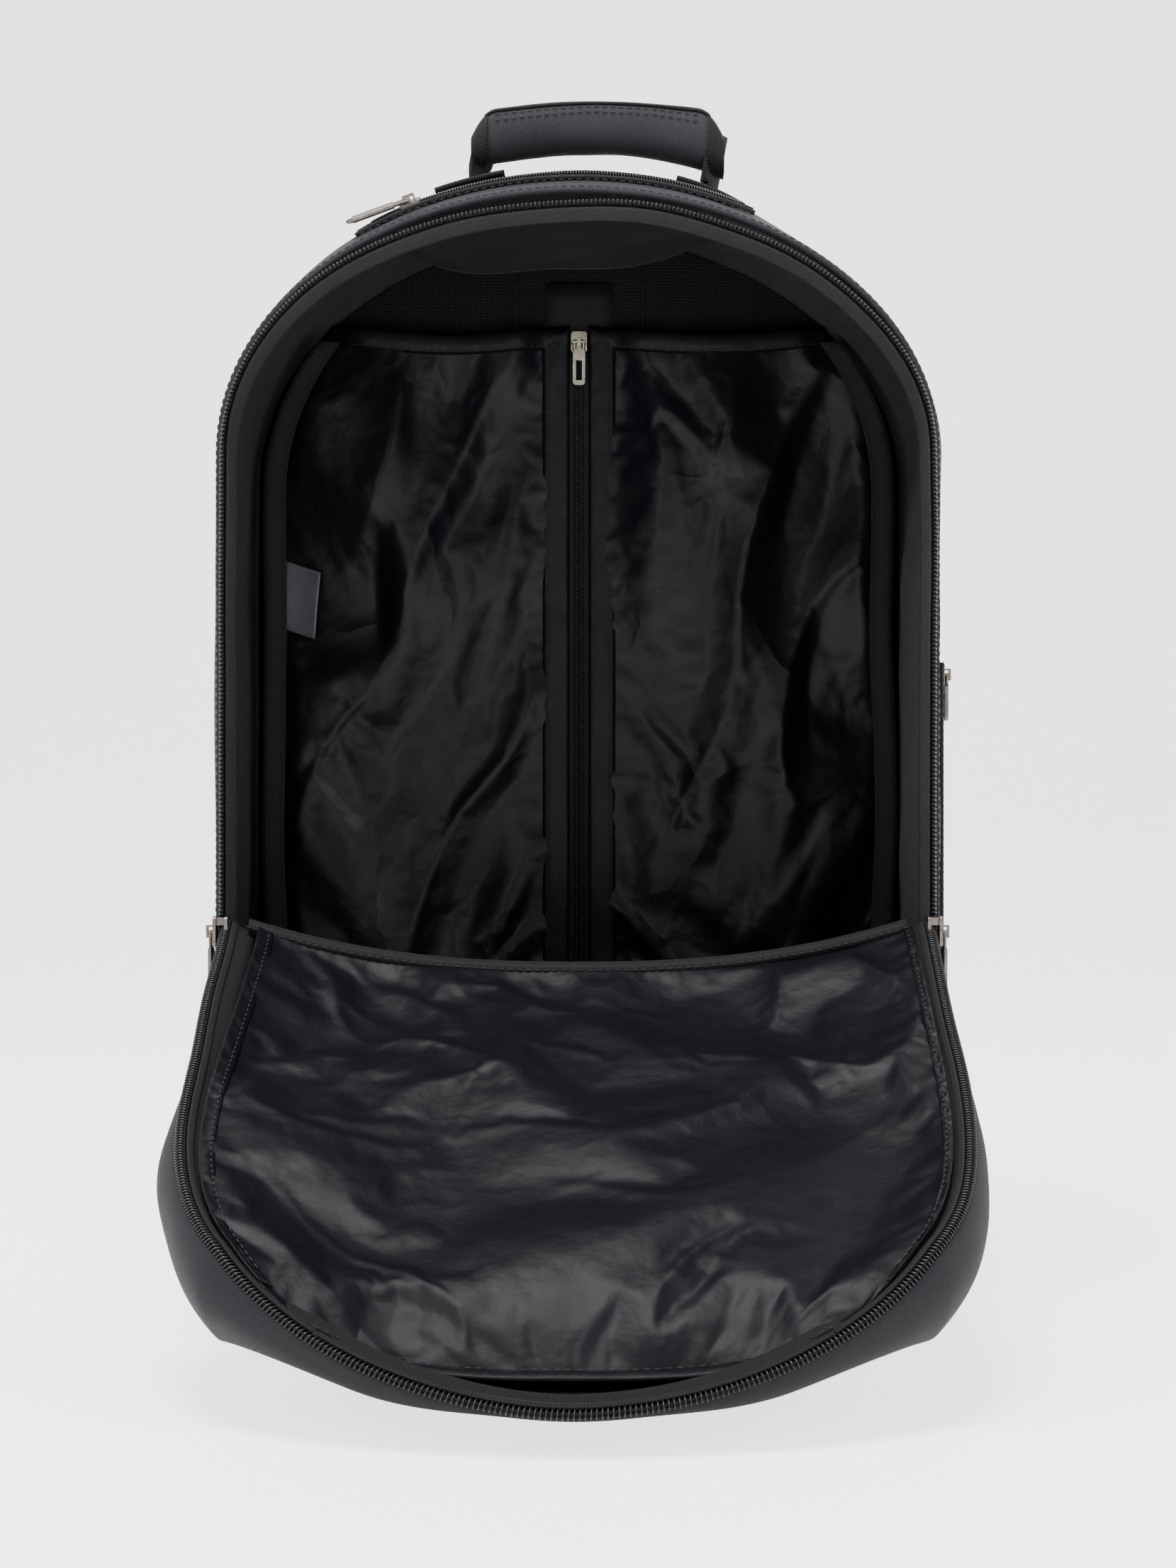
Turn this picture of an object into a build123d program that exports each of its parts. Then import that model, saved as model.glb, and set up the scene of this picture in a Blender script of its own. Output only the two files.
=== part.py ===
from build123d import *
import math
import os

# Travel backpack, standing on its base, with the front panel unzipped and folded down.
# Millimetres. Origin: centre of the base, on the floor. +Z up, +X to the right, -Y to the front.

# body of the bag
body_width = 354.0          # at the widest depth, half way back
body_height = 542.0         # at the tallest depth, half way back
body_depth = 200.0          # front edge to back panel
front_narrowing = 11.0      # each side is this much further in at the front edge
back_narrowing = 7.0
front_drop = 32.0           # the top is this much lower at the front edge
back_drop = 14.0
arch_rise = 147.0           # height of the arched top above the straight sides
corner_radius = 30.0
wall = 3.0                  # canvas, foam and lining of a side
base_trim = 0.5             # trimmed off the underside to leave it truly flat
back_panel_thickness = 3.0

# main zip, which runs up both sides and over the top
tape_thickness = 1.0
tape_reach = 8.0            # tape seen between the canvas and the teeth
coil_radius = 1.6
fold_height = 170.0         # where the front panel folds
zip_clearance = 0.5
fold_binding_inset = 4.4    # from the teeth to the ends of the binding along the fold

# front flap, drawn closed and then folded down about the fold line
flap_rest_angle = 65.7      # angle of the folded flap from hanging straight down
flap_start = 3.0            # first flap cloth above the fold line
flap_thickness = 3.0
lining_thickness = 1.0
flap_tape_width = 8.0
flap_tape_start = 5.0       # first zip tape of the flap above the fold line
flap_lining_overlap = 2.0   # lining sewn over the zip tape
flap_corner = 2.0

# front pocket on the outside of the flap
pocket_depth = 56.0
pocket_start = 20.0
pocket_inset = 10.0
pocket_corner = 24.0
pocket_foot_rise = 20.0     # the pocket's lower end slopes away from the fold by this much
pocket_profile = ((0, 0), (5, 0.55), (16, 0.88), (34, 1))  # inset and share of the depth
pocket_zip_rise = 190.0     # distance of the pocket zip from the fold line
pocket_zip_half_length = 95.0

# sliders and pulls
main_slider_width = 11.0
main_slider_length = 14.0
small_slider_width = 8.4
small_slider_length = 11.0
plate = 1.5                 # thickness of a slider's plates
running_clearance = 0.35
pull_bar_radius = 0.8
pull_half_gap = 2.4         # from the middle of a pull to the centre of its arm
bridge_half_width = 0.9
bridge_foot = 0.9           # thickness of each foot of a slider's bridge
bridge_top = 1.2
bridge_room = 0.9           # extra length inside the bridge, so that the pull can tip over
slider_shift = 1.9          # a main slider sits this far in front of the body's teeth
slider_corner = 2.0
small_slider_corner = 1.6
wedge_half_width = 1.3
wedge_length = 3.5
wedge_setback = 0.5         # from the slider's end to its wedge
sleeve_setback = 1.5        # from the slider's end to the sleeve of its pull
sleeve_corner = 1.0
tail_radius = 2.6           # small loop at the sleeve's end
tab_arm = 5.0               # from a tab pull's bar to its tab
tab_corner = 2.0
tab_hole_half_width = 1.6
tab_hole_length = 10.5
tab_hole_setback = 5.0      # from the tab's start to its hole
sleeve_length = 20.0
sleeve_width = 8.0
sleeve_thickness = 2.4
small_pull_length = 18.0
small_pull_width = 6.4
main_slider_height = 172.0  # sliders rest just above the fold
small_coil_width = 4.0
small_coil_height = 2.2
small_tape_width = 28.0
tape_margin = 6.0           # zip tape beyond the ends of its teeth

# top pocket zip
top_zip_depth = -68.0
top_zip_start = -95.0
top_zip_end = 74.0
top_slider_place = -78.0
top_pouch_back = 40.0
top_pouch_thickness = 9.0
top_tape_margin = 4.0

# side pocket zip, on the right
side_zip_top = 300.0
side_zip_length = 165.0
side_pouch_front = -55.0
side_pouch_back = 62.0
side_pouch_below = 40.0     # pouch below the lower end of the zip
side_pouch_above = 30.0
side_pouch_thickness = 4.0

# inside of the back
foam_thickness = 5.0
sheet_thickness = 1.5
board_thickness = 2.0
stay_thickness = 3.0
stay_width = 25.0
stay_sleeve_width = 38.0
stay_sleeve_cloth = 1.0
stay_sleeve_hem = 4.0       # sleeve beyond each end of the stay
frame_inset = 12.0          # from the foam's edge to the frame sheet, and on to the stay
curtain_thickness = 1.2
curtain_hem_drop = 61.0     # hem of the curtain below the bag's full height
curtain_zip_bottom = 140.0
curtain_gap = 5.0           # between the two halves of the curtain
curtain_floor_gap = 3.0
curtain_zip_start = 4.0     # from the end of the slit to the first teeth
curtain_zip_stop = 6.0      # from the hem to the last teeth
curtain_slider_drop = 8.0   # from the hem to the middle of the slider
seam_inset = 6.0            # bound seams, from the curtain's sides
seam_width = 8.0
seam_thickness = 3.0
seam_bottom = 40.0
label_inset = 14.0
label_width = 19.0
label_length = 35.0
label_bottom = 322.0
label_thickness = 0.5

# grab handle
handle_centre = 9.0
handle_half_span = 60.0
handle_webbing_width = 20.0
handle_webbing_thickness = 2.0
handle_bend = 9.0
handle_foot_inset = 4.0     # feet stand this much to the left of the ends of the grip webbing
handle_anchor_thickness = 1.6
handle_anchor_half = 16.0
handle_swing_room = 6.0     # from the anchor patch up to the hinge line
handle_hinge_gap = 0.5      # from the hinge line up to the webbing
handle_stub_gap = 3.0       # from the webbing stub up to the hinge line
handle_stub_half_width = 4.0
handle_stub_half_thickness = 1.0
grip_half_length = 56.0
grip_lift = 13.0            # grip's underside above the bag's full height
grip_height = 22.0
grip_width = 22.0
grip_corner = 7.0
grip_slot_clearance = 0.1
grip_slot_setback = 1.0     # the slot is this much narrower than the webbing it takes, each side

# shoulder straps and back pads
pad_thickness = 10.0
pad_width = 118.0
pad_gap = 40.0
pad_bottom = 90.0
pad_top_drop = 80.0         # top of the pads below the bag's full height
pad_corner = 26.0
strap_lift = 1.0            # strap stands off the pads
strap_thickness = 12.0
strap_width = 60.0
strap_hinge_drop = 50.0     # strap hinge below the bag's full height
strap_hinge_setback = 6.0   # from the hinge down to the strap's padding
strap_top_place = 42.0
strap_end_place = 98.0
strap_end_height = 190.0
strap_bow_share = 0.65      # where the bow lies between the top and the end
strap_bow = 5.0
strap_tab_half_width = 18.0
strap_tab_top = 9.0         # below the hinge
strap_tab_bottom = 20.0
strap_tab_overlap = 0.5
yoke_half_width = 24.0
yoke_thickness = 3.0
yoke_top = 6.0              # above the hinge
yoke_bottom = 26.0
lock_half_width = 19.0
lock_half_thickness = 3.0
lock_length = 26.0
lock_corner = 3.0
lock_overlap = 1.0          # strap sewn over the top of the ladder lock
lock_window_half_width = 14.0
lock_window_height = 5.0
lock_window_drops = (22.0, 9.0)
strap_webbing_width = 25.0
strap_webbing_thickness = 1.6
strap_webbing_gap = 7.0     # from each end of the webbing to what it is sewn to
anchor_height = 62.0
anchor_inset = 34.0         # from the bag's side at the back
anchor_half_width = 18.0
anchor_thickness = 2.5
anchor_top = 6.0            # below the webbing's lower end
anchor_bottom = 30.0
anchor_corner = 3.0
clearance = 0.4             # between parts that move apart

# places that follow from the sizes above
middle_half_width = body_width / 2
front_half_width = middle_half_width - front_narrowing
back_half_width = middle_half_width - back_narrowing
front_height = body_height - front_drop
back_height = body_height - back_drop
arch_start = body_height - arch_rise
curtain_hem_height = body_height - curtain_hem_drop
grip_bottom = body_height + grip_lift
pad_top = body_height - pad_top_drop
strap_hinge_height = body_height - strap_hinge_drop
pull_arm = main_slider_length / 2 + sleeve_setback
front = -body_depth / 2
back = body_depth / 2
far = body_width            # past the bag's sides, for boxes that cut right across it
tall = 2 * body_height      # past the bag's top
parts = {}


def between(front_value, middle_value, back_value, y):
    """Value at depth y of the smooth curve through the front, middle and back values."""
    t = 2 * y / body_depth
    bend = (front_value + back_value) / 2 - middle_value
    lean = (back_value - front_value) / 2
    return middle_value + lean * t + bend * t * t


def half_width_at(y):
    return between(front_half_width, middle_half_width, back_half_width, y)


def height_at(y):
    return between(front_height, body_height, back_height, y)


def depth_plane(y):
    """Plane at depth y that looks to the front: its x is +X and its y is +Z."""
    return Plane((0, y, 0), x_dir=(1, 0, 0), z_dir=(0, -1, 0))


def slab(x0, x1, y0, y1, z0, z1):
    middle = Location(((x0 + x1) / 2, (y0 + y1) / 2, (z0 + z1) / 2))
    return middle * Box(x1 - x0, y1 - y0, z1 - z0)


def half_ellipse(half, rise):
    """Arch from the left to the right over the top of the straight sides."""
    return EllipticalCenterArc((0, arch_start), half, rise, start_angle=180, arc_size=-180)


def bag_section(y, inset):
    """Bag outline at depth y: flat bottom, rounded corners, straight sides, arched top."""
    half = half_width_at(y) - inset
    top = height_at(y) - inset
    low = inset - base_trim
    radius = corner_radius - inset
    edges = [
        Line((radius - half, low), (half - radius, low)),
        CenterArc((half - radius, low + radius), radius, 270, 90),
        Line((half, low + radius), (half, arch_start)),
        EllipticalCenterArc((0, arch_start), half, top - arch_start, start_angle=0, arc_size=90),
        EllipticalCenterArc((0, arch_start), half, top - arch_start, start_angle=90, arc_size=90),
        Line((-half, arch_start), (-half, low + radius)),
        CenterArc((radius - half, low + radius), radius, 180, 90),
    ]
    return depth_plane(y) * make_face(edges)


def bag_loft(inset):
    depths = [front, front / 2, 0, back / 2, back]
    return loft([bag_section(y, inset) for y in depths])


def arch_outline(half, low, start, top, radius):
    """Panel outline in X and Z: straight bottom and sides under an arched top."""
    edges = [
        Line((radius - half, low), (half - radius, low)),
        CenterArc((half - radius, low + radius), radius, 270, 90),
        Line((half, low + radius), (half, start)),
        EllipticalCenterArc((0, start), half, top - start, start_angle=0, arc_size=90),
        EllipticalCenterArc((0, start), half, top - start, start_angle=90, arc_size=90),
        Line((-half, start), (-half, low + radius)),
        CenterArc((radius - half, low + radius), radius, 180, 90),
    ]
    return make_face(edges)


def panel(half, low, start, top, radius, y_front, thickness):
    """Flat arched panel whose front face is at y_front."""
    outline = depth_plane(y_front) * arch_outline(half, low, start, top, radius)
    return extrude(outline, amount=thickness, dir=(0, 1, 0))


outer = bag_loft(0)
inner = bag_loft(wall)
shell = outer - inner

# canvas body
front_panel_top = main_slider_height - main_slider_length / 2 - zip_clearance
canvas_front = front + tape_reach
canvas_back = back - back_panel_thickness


def build_canvas_body():
    board_half = half_width_at(front) - wall - corner_radius
    board_low = wall - base_trim
    around = shell & slab(-far, far, canvas_front, canvas_back, 0, tall)
    parts["bottom_panel"] = around & slab(-far, far, front, back, 0, corner_radius)
    parts["side_gusset_left"] = around & slab(-far, 0, front, back, corner_radius, arch_start)
    parts["side_gusset_right"] = around & slab(0, far, front, back, corner_radius, arch_start)
    parts["top_gusset"] = around & slab(-far, far, front, back, arch_start, tall)
    parts["back_panel"] = outer & slab(-far, far, canvas_back, back, 0, tall)
    low_front = outer & slab(-far, far, front, canvas_front, 0, front_panel_top)
    hollow = inner & slab(-far, far, front + wall, canvas_front, -base_trim, tall)
    parts["front_panel_lower"] = low_front - hollow
    parts["bottom_board"] = slab(
        -board_half, board_half, canvas_front + wall, curtain_front - clearance,
        board_low, board_low + board_thickness,
    )


# main zip on the body
coil_inset = wall / 2
coil_y = front - coil_radius
coil_half = front_half_width - coil_inset
coil_top = front_height - coil_inset


def build_body_zip():
    tape = bag_loft(coil_inset - tape_thickness / 2) - bag_loft(coil_inset + tape_thickness / 2)
    above = slab(-far, far, front, canvas_front, front_panel_top, tall)
    parts["body_zip_tape"] = tape & above
    path = Wire([
        Line((-coil_half, coil_y, fold_height), (-coil_half, coil_y, arch_start)),
        depth_plane(coil_y) * half_ellipse(coil_half, coil_top - arch_start),
        Line((coil_half, coil_y, arch_start), (coil_half, coil_y, fold_height)),
    ])
    start = Plane((-coil_half, coil_y, fold_height), x_dir=(1, 0, 0), z_dir=(0, 0, 1))
    parts["body_zip_coil"] = sweep(start * Circle(coil_radius), path=path)
    parts["fold_binding"] = slab(
        fold_binding_inset - coil_half, coil_half - fold_binding_inset,
        front, front + wall, front_panel_top, fold_height - clearance,
    )


# slider and pull, drawn on a zip that lies in the XY plane, runs along Y and faces +Z
def slider_bridge(top):
    """Small bridge on the slider's top plate that holds the pull's bar."""
    gap = 2 * pull_bar_radius + 2 * running_clearance
    feet = bridge_room + pull_bar_radius + running_clearance
    half = bridge_half_width
    bridge = slab(-half, half, -feet - bridge_foot, feet + bridge_foot, top, top + gap + bridge_top)
    return bridge - slab(-half, half, -feet, feet, top, top + gap)


def bar_height(top):
    return top + pull_bar_radius + running_clearance


def open_slider(side):
    """Main slider: two plates and the wedge between them. side is the body tape's side."""
    half_gap = coil_radius + running_clearance
    half = main_slider_width / 2
    length = main_slider_length / 2
    upper = slab(-half, half, -length, length, half_gap, half_gap + plate)
    lower = slab(-half, half, -length, length, -half_gap - plate, -half_gap)
    upper = fillet(upper.edges().filter_by(Axis.Z), slider_corner)
    lower = fillet(lower.edges().filter_by(Axis.Z), slider_corner)
    wedge_end = length - wedge_setback
    wedge = slab(
        -wedge_half_width, wedge_half_width, wedge_end - wedge_length, wedge_end, -half_gap, half_gap
    )
    wedge = Location((-side * slider_shift, 0, 0)) * wedge
    return upper + lower + wedge + slider_bridge(half_gap + plate)


def open_slider_top():
    return coil_radius + running_clearance + plate


def channel_slider():
    """Small slider: a plate with a flange down each side of the closed teeth."""
    half = small_slider_width / 2
    length = small_slider_length / 2
    inside = small_coil_width / 2 + running_clearance
    under = small_coil_height + running_clearance
    body = slab(-half, half, -length, length, running_clearance, under + plate)
    body = fillet(body.edges().filter_by(Axis.Z), small_slider_corner)
    body = body - slab(-inside, inside, -length - 1, length + 1, 0, under)
    return body + slider_bridge(under + plate)


def channel_slider_top():
    return small_coil_height + running_clearance + plate


def sleeve_pull(top):
    """Wire loop with a flat metal sleeve round its middle."""
    height = bar_height(top)
    wire = pull_bar_radius
    half = pull_half_gap
    bar = Location((0, 0, height)) * Rotation(0, 90, 0) * Cylinder(wire, 2 * half + 2 * wire)
    loop = bar
    for side in (-1, 1):
        arm_middle = Location((side * half, -pull_arm / 2, height))
        loop = loop + arm_middle * Rotation(90, 0, 0) * Cylinder(wire, pull_arm)
    low = -pull_arm - sleeve_length
    sleeve = slab(
        -sleeve_width / 2, sleeve_width / 2, low, wire - pull_arm,
        height - sleeve_thickness / 2, height + sleeve_thickness / 2,
    )
    sleeve = fillet(sleeve.edges().filter_by(Axis.Y), sleeve_corner)
    tail = Location((0, low, height)) * Torus(tail_radius, wire)
    tail = tail & slab(-sleeve_width, sleeve_width, low - sleeve_length, low, height - wire, height + wire)
    return loop + sleeve + tail


def tab_pull(top):
    """Flat tab that tapers from its bar to a rounded end with a hole."""
    height = bar_height(top)
    wire = pull_bar_radius
    half = pull_half_gap
    bar = Location((0, 0, height)) * Rotation(0, 90, 0) * Cylinder(wire, 2 * half + 2 * wire)
    loop = bar
    for side in (-1, 1):
        arm_middle = Location((side * half, -tab_arm / 2, height))
        loop = loop + arm_middle * Rotation(90, 0, 0) * Cylinder(wire, tab_arm)
    tab = slab(
        -small_pull_width / 2, small_pull_width / 2, -tab_arm - small_pull_length, wire - tab_arm,
        height - wire, height + wire,
    )
    tab = fillet(tab.edges().filter_by(Axis.Z), tab_corner)
    hole_start = -tab_arm - tab_hole_setback
    hole = slab(
        -tab_hole_half_width, tab_hole_half_width, hole_start - tab_hole_length, hole_start,
        height - wire, height + wire,
    )
    return loop + (tab - hole)


def side_plane(side, x, y, z):
    """Zip plane on a side of the bag: faces outwards, with the zip's +Y straight up."""
    return Plane((side * x, y, z), x_dir=(0, side, 0), z_dir=(side, 0, 0))


def build_main_sliders():
    for side, name in ((-1, "left"), (1, "right")):
        place = side_plane(side, coil_half, coil_y - slider_shift, main_slider_height)
        parts["main_slider_" + name] = place * open_slider(side)
        parts["main_pull_" + name] = place * sleeve_pull(open_slider_top())


# flap
flap_half = coil_half - coil_radius - running_clearance - plate - zip_clearance
flap_top = front_height - (front_half_width - flap_half)
flap_front = front - zip_clearance
flap_edge = coil_radius * 2
to_fold_line = Location((0, front, fold_height))
fold = to_fold_line * Rotation(180 - flap_rest_angle, 0, 0) * to_fold_line.inverse()


def flap_panel(inset, y_front, thickness):
    half = flap_half - inset
    low = fold_height + flap_start
    return panel(half, low, arch_start, flap_top - inset, flap_corner, y_front, thickness)


def build_flap():
    lining_front = flap_front - lining_thickness
    panel_front = lining_front - flap_thickness
    cloth_inset = flap_edge + flap_tape_width
    closed = {}
    closed["flap_lining"] = flap_panel(cloth_inset - flap_lining_overlap, lining_front, lining_thickness)
    closed["flap_panel"] = flap_panel(cloth_inset, panel_front, flap_thickness)
    tape_front = lining_front - tape_thickness
    ring = flap_panel(flap_edge, tape_front, tape_thickness)
    ring = ring - flap_panel(cloth_inset, tape_front, tape_thickness)
    below = fold_height + flap_tape_start
    trim = slab(-far, far, front - body_depth, front, below, tall)
    closed["flap_zip_tape"] = ring & trim
    centre = flap_half - coil_radius
    y = lining_front - tape_thickness / 2
    rise = flap_top - coil_radius - arch_start
    path = Wire([
        Line((-centre, y, below), (-centre, y, arch_start)),
        depth_plane(y) * half_ellipse(centre, rise),
        Line((centre, y, arch_start), (centre, y, below)),
    ])
    start = Plane((-centre, y, below), x_dir=(1, 0, 0), z_dir=(0, 0, 1))
    closed["flap_zip_coil"] = sweep(start * Circle(coil_radius), path=path)

    # pocket: a soft, domed pouch on the outside of the flap, flat where it lies on the floor
    pocket_half = flap_half - cloth_inset - pocket_inset
    pocket_top = flap_top - cloth_inset - pocket_inset
    sections = []
    for inset, rise in pocket_profile:
        outline = arch_outline(
            pocket_half - inset, fold_height + pocket_start + inset + pocket_foot_rise * rise,
            arch_start, pocket_top - inset, pocket_corner,
        )
        sections.append(depth_plane(panel_front - rise * pocket_depth) * outline)
    pocket = loft(sections, ruled=True)
    floor = slab(-far, far, front - tall, 0, -tall, 0)
    closed["front_pocket"] = pocket - fold.inverse() * floor

    # pocket zip across the outside of the pocket
    zip_front = panel_front - pocket_depth
    height = fold_height + pocket_zip_rise
    tape = slab(
        -pocket_zip_half_length, pocket_zip_half_length, zip_front - tape_thickness, zip_front,
        height - small_tape_width / 2, height + small_tape_width / 2,
    )
    teeth = slab(
        -pocket_zip_half_length, pocket_zip_half_length,
        zip_front - tape_thickness - small_coil_height, zip_front - tape_thickness,
        height - small_coil_width / 2, height + small_coil_width / 2,
    )
    closed["pocket_zip"] = tape + teeth
    place = Plane(
        (-pocket_slider_place, zip_front - tape_thickness, height),
        x_dir=(0, 0, 1), z_dir=(0, -1, 0),
    )
    closed["pocket_slider"] = place * channel_slider()
    closed["pocket_pull"] = place * tab_pull(channel_slider_top())
    for name, solid in closed.items():
        parts[name] = fold * solid


pocket_slider_place = pocket_zip_half_length - small_slider_length

# top pocket zip, on an arc about a point below the top
top_zip_surface = height_at(top_zip_depth)
top_zip_radius = half_width_at(top_zip_depth) ** 2 / (top_zip_surface - arch_start)
top_zip_centre = top_zip_surface - top_zip_radius
slope = (height_at(top_zip_depth + 1) - height_at(top_zip_depth - 1)) / 2
top_zip_tilt = math.degrees(math.atan(slope))


def top_zip_plane(angle):
    """Zip plane on the top at the given angle from the middle: the zip's +Y points right."""
    upright = Plane(
        (0, top_zip_depth, top_zip_surface + tape_thickness), x_dir=(0, 1, 0), z_dir=(0, 0, 1)
    )
    tilted = Location((0, top_zip_depth, top_zip_surface)) * Rotation(top_zip_tilt, 0, 0)
    tilted = tilted * Location((0, -top_zip_depth, -top_zip_surface))
    turn = Location((0, 0, top_zip_centre)) * Rotation(0, angle, 0) * Location((0, 0, -top_zip_centre))
    flip = Rotation(0, 0, 180)
    return turn * tilted * upright.location * flip


def top_angle(x):
    return math.degrees(math.asin(x / top_zip_radius))


def build_top_zip():
    skin = bag_loft(-tape_thickness) - outer
    parts["top_zip_tape"] = skin & slab(
        top_zip_start - top_tape_margin, top_zip_end + top_tape_margin,
        top_zip_depth - small_tape_width / 2, top_zip_depth + small_tape_width / 2,
        arch_start, tall,
    )
    section = top_zip_plane(top_angle(top_zip_start)) * Plane.XZ.location
    profile = section * (Pos(0, small_coil_height / 2) * Rectangle(small_coil_width, small_coil_height))
    turn = top_angle(top_zip_end) - top_angle(top_zip_start)
    axis = Axis((0, 0, top_zip_centre), (0, 1, 0))
    teeth = revolve(profile, axis=axis, revolution_arc=turn)
    parts["top_zip_coil"] = teeth - bag_loft(-tape_thickness)
    place = top_zip_plane(top_angle(top_slider_place))
    parts["top_slider"] = place * channel_slider()
    parts["top_pull"] = place * sleeve_pull(channel_slider_top())
    pouch = inner - bag_loft(wall + top_pouch_thickness)
    parts["top_pocket_pouch"] = pouch & slab(
        top_zip_start, top_zip_end, top_zip_depth + small_tape_width / 2, top_pouch_back,
        arch_start, tall,
    )


def build_side_zip():
    surface = middle_half_width
    bottom = side_zip_top - side_zip_length
    tape = slab(
        surface - wall, surface + tape_thickness,
        -small_tape_width / 2, small_tape_width / 2, bottom - tape_margin, side_zip_top + tape_margin,
    )
    teeth = slab(
        surface + tape_thickness, surface + tape_thickness + small_coil_height,
        -small_coil_width / 2, small_coil_width / 2, bottom, side_zip_top,
    )
    parts["side_zip"] = (tape - outer) + teeth
    place = side_plane(1, surface + tape_thickness, 0, side_zip_top - small_slider_length / 2)
    parts["side_slider"] = place * channel_slider()
    parts["side_pull"] = place * tab_pull(channel_slider_top())
    pouch = inner - bag_loft(wall + side_pouch_thickness)
    parts["side_pocket_pouch"] = pouch & slab(
        0, far, side_pouch_front, side_pouch_back,
        bottom - side_pouch_below, side_zip_top + side_pouch_above,
    )


# layers inside the back panel, from the canvas inwards
foam_front = canvas_back - foam_thickness
sheet_front = foam_front - sheet_thickness
sleeve_front = sheet_front - stay_thickness - stay_sleeve_cloth
curtain_front = sleeve_front - curtain_thickness
inside_half = half_width_at(curtain_front) - wall - zip_clearance


def build_back_layers():
    half = back_half_width - wall - zip_clearance
    top = back_height - wall - zip_clearance
    low = wall + zip_clearance
    corner = corner_radius - wall
    parts["back_foam"] = panel(half, low, arch_start, top, corner, foam_front, foam_thickness)
    parts["frame_sheet"] = panel(
        half - frame_inset, low + frame_inset, arch_start, top - frame_inset, corner,
        sheet_front, sheet_thickness,
    )
    stay_low = low + 2 * frame_inset
    stay_top = top - 2 * frame_inset
    stay = slab(
        -stay_width / 2, stay_width / 2, sheet_front - stay_thickness, sheet_front,
        stay_low, stay_top,
    )
    parts["center_stay"] = stay
    sleeve = slab(
        -stay_sleeve_width / 2, stay_sleeve_width / 2, sleeve_front, sheet_front,
        stay_low - stay_sleeve_hem, stay_top + stay_sleeve_hem,
    )
    parts["stay_sleeve"] = sleeve - stay


def build_curtain():
    half = inside_half
    low = wall + curtain_floor_gap
    whole = panel(
        half, low, arch_start, height_at(curtain_front) - wall - zip_clearance, corner_radius - wall,
        curtain_front, curtain_thickness,
    )
    whole = whole & slab(-half, half, front, back, low, curtain_hem_height)
    slit = slab(-curtain_gap / 2, curtain_gap / 2, front, back, curtain_zip_bottom, curtain_hem_height)
    whole = whole - slit
    middle = slab(0, half, front, back, 0, tall)
    parts["lining_curtain_left"] = whole - middle
    parts["lining_curtain_right"] = whole & middle
    tape = slab(
        -small_tape_width / 2, small_tape_width / 2, curtain_front - tape_thickness / 2, curtain_front,
        curtain_zip_bottom, curtain_hem_height - curtain_zip_start,
    )
    teeth = slab(
        -small_coil_width / 2, small_coil_width / 2,
        curtain_front - tape_thickness / 2 - small_coil_height, curtain_front - tape_thickness / 2,
        curtain_zip_bottom + curtain_zip_start, curtain_hem_height - curtain_zip_stop,
    )
    parts["curtain_zip"] = tape + teeth
    place = Plane(
        (0, curtain_front - tape_thickness / 2, curtain_hem_height - curtain_slider_drop),
        x_dir=(1, 0, 0), z_dir=(0, -1, 0),
    )
    parts["curtain_slider"] = place * channel_slider()
    parts["curtain_pull"] = place * tab_pull(channel_slider_top())
    for side, name in ((-1, "left"), (1, "right")):
        outer_edge = side * (inside_half - seam_inset)
        inner_edge = outer_edge - side * seam_width
        parts["seam_binding_" + name] = slab(
            min(inner_edge, outer_edge), max(inner_edge, outer_edge),
            curtain_front - seam_thickness, curtain_front, seam_bottom, arch_start,
        )
    label_start = label_inset - inside_half
    parts["care_label"] = slab(
        label_start, label_start + label_width, curtain_front - label_thickness, curtain_front,
        label_bottom, label_bottom + label_length,
    )


def top_at(x, lift=0.0):
    """Height of the top of the bag over x at middle depth, lifted by a skin's thickness."""
    half = middle_half_width + lift
    return arch_start + (arch_rise + lift) * math.sqrt(1 - (x / half) ** 2)


foot_left = handle_centre - handle_half_span - handle_foot_inset
foot_right = handle_centre + handle_half_span - handle_foot_inset
handle_hinge_height = (
    max(top_at(foot_left), top_at(foot_right)) + handle_anchor_thickness + handle_swing_room
)


def build_handle():
    middle = grip_bottom + grip_height / 2
    low = handle_hinge_height + handle_hinge_gap
    points = [
        (foot_left, 0, low),
        (handle_centre - handle_half_span, 0, middle),
        (handle_centre + handle_half_span, 0, middle),
        (foot_right, 0, low),
    ]
    line = FilletPolyline(*points, radius=handle_bend)
    start = Plane(origin=line @ 0, x_dir=(0, 1, 0), z_dir=line % 0)
    profile = start * Rectangle(handle_webbing_width, handle_webbing_thickness)
    webbing = sweep(profile, path=line)
    parts["handle_webbing"] = webbing
    grip = slab(
        handle_centre - grip_half_length, handle_centre + grip_half_length,
        -grip_width / 2, grip_width / 2, grip_bottom, grip_bottom + grip_height,
    )
    grip = fillet(grip.edges().filter_by(Axis.X), grip_corner)
    room = handle_webbing_width / 2 + grip_slot_clearance - grip_slot_setback
    slot = slab(
        handle_centre - grip_half_length, handle_centre + grip_half_length,
        -room, room,
        middle - handle_webbing_thickness / 2, middle + handle_webbing_thickness / 2,
    )
    parts["handle_grip"] = grip - slot - webbing
    patch = bag_loft(-handle_anchor_thickness) - outer
    for name, x in (("left", foot_left), ("right", foot_right)):
        base = patch & slab(
            x - handle_anchor_half, x + handle_anchor_half,
            -handle_anchor_half, handle_anchor_half, arch_start, tall,
        )
        stub = slab(
            x - handle_stub_half_thickness, x + handle_stub_half_thickness,
            -handle_stub_half_width, handle_stub_half_width,
            top_at(x) - wall, handle_hinge_height - handle_stub_gap,
        )
        parts["handle_anchor_" + name] = base + (stub - outer)


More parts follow.
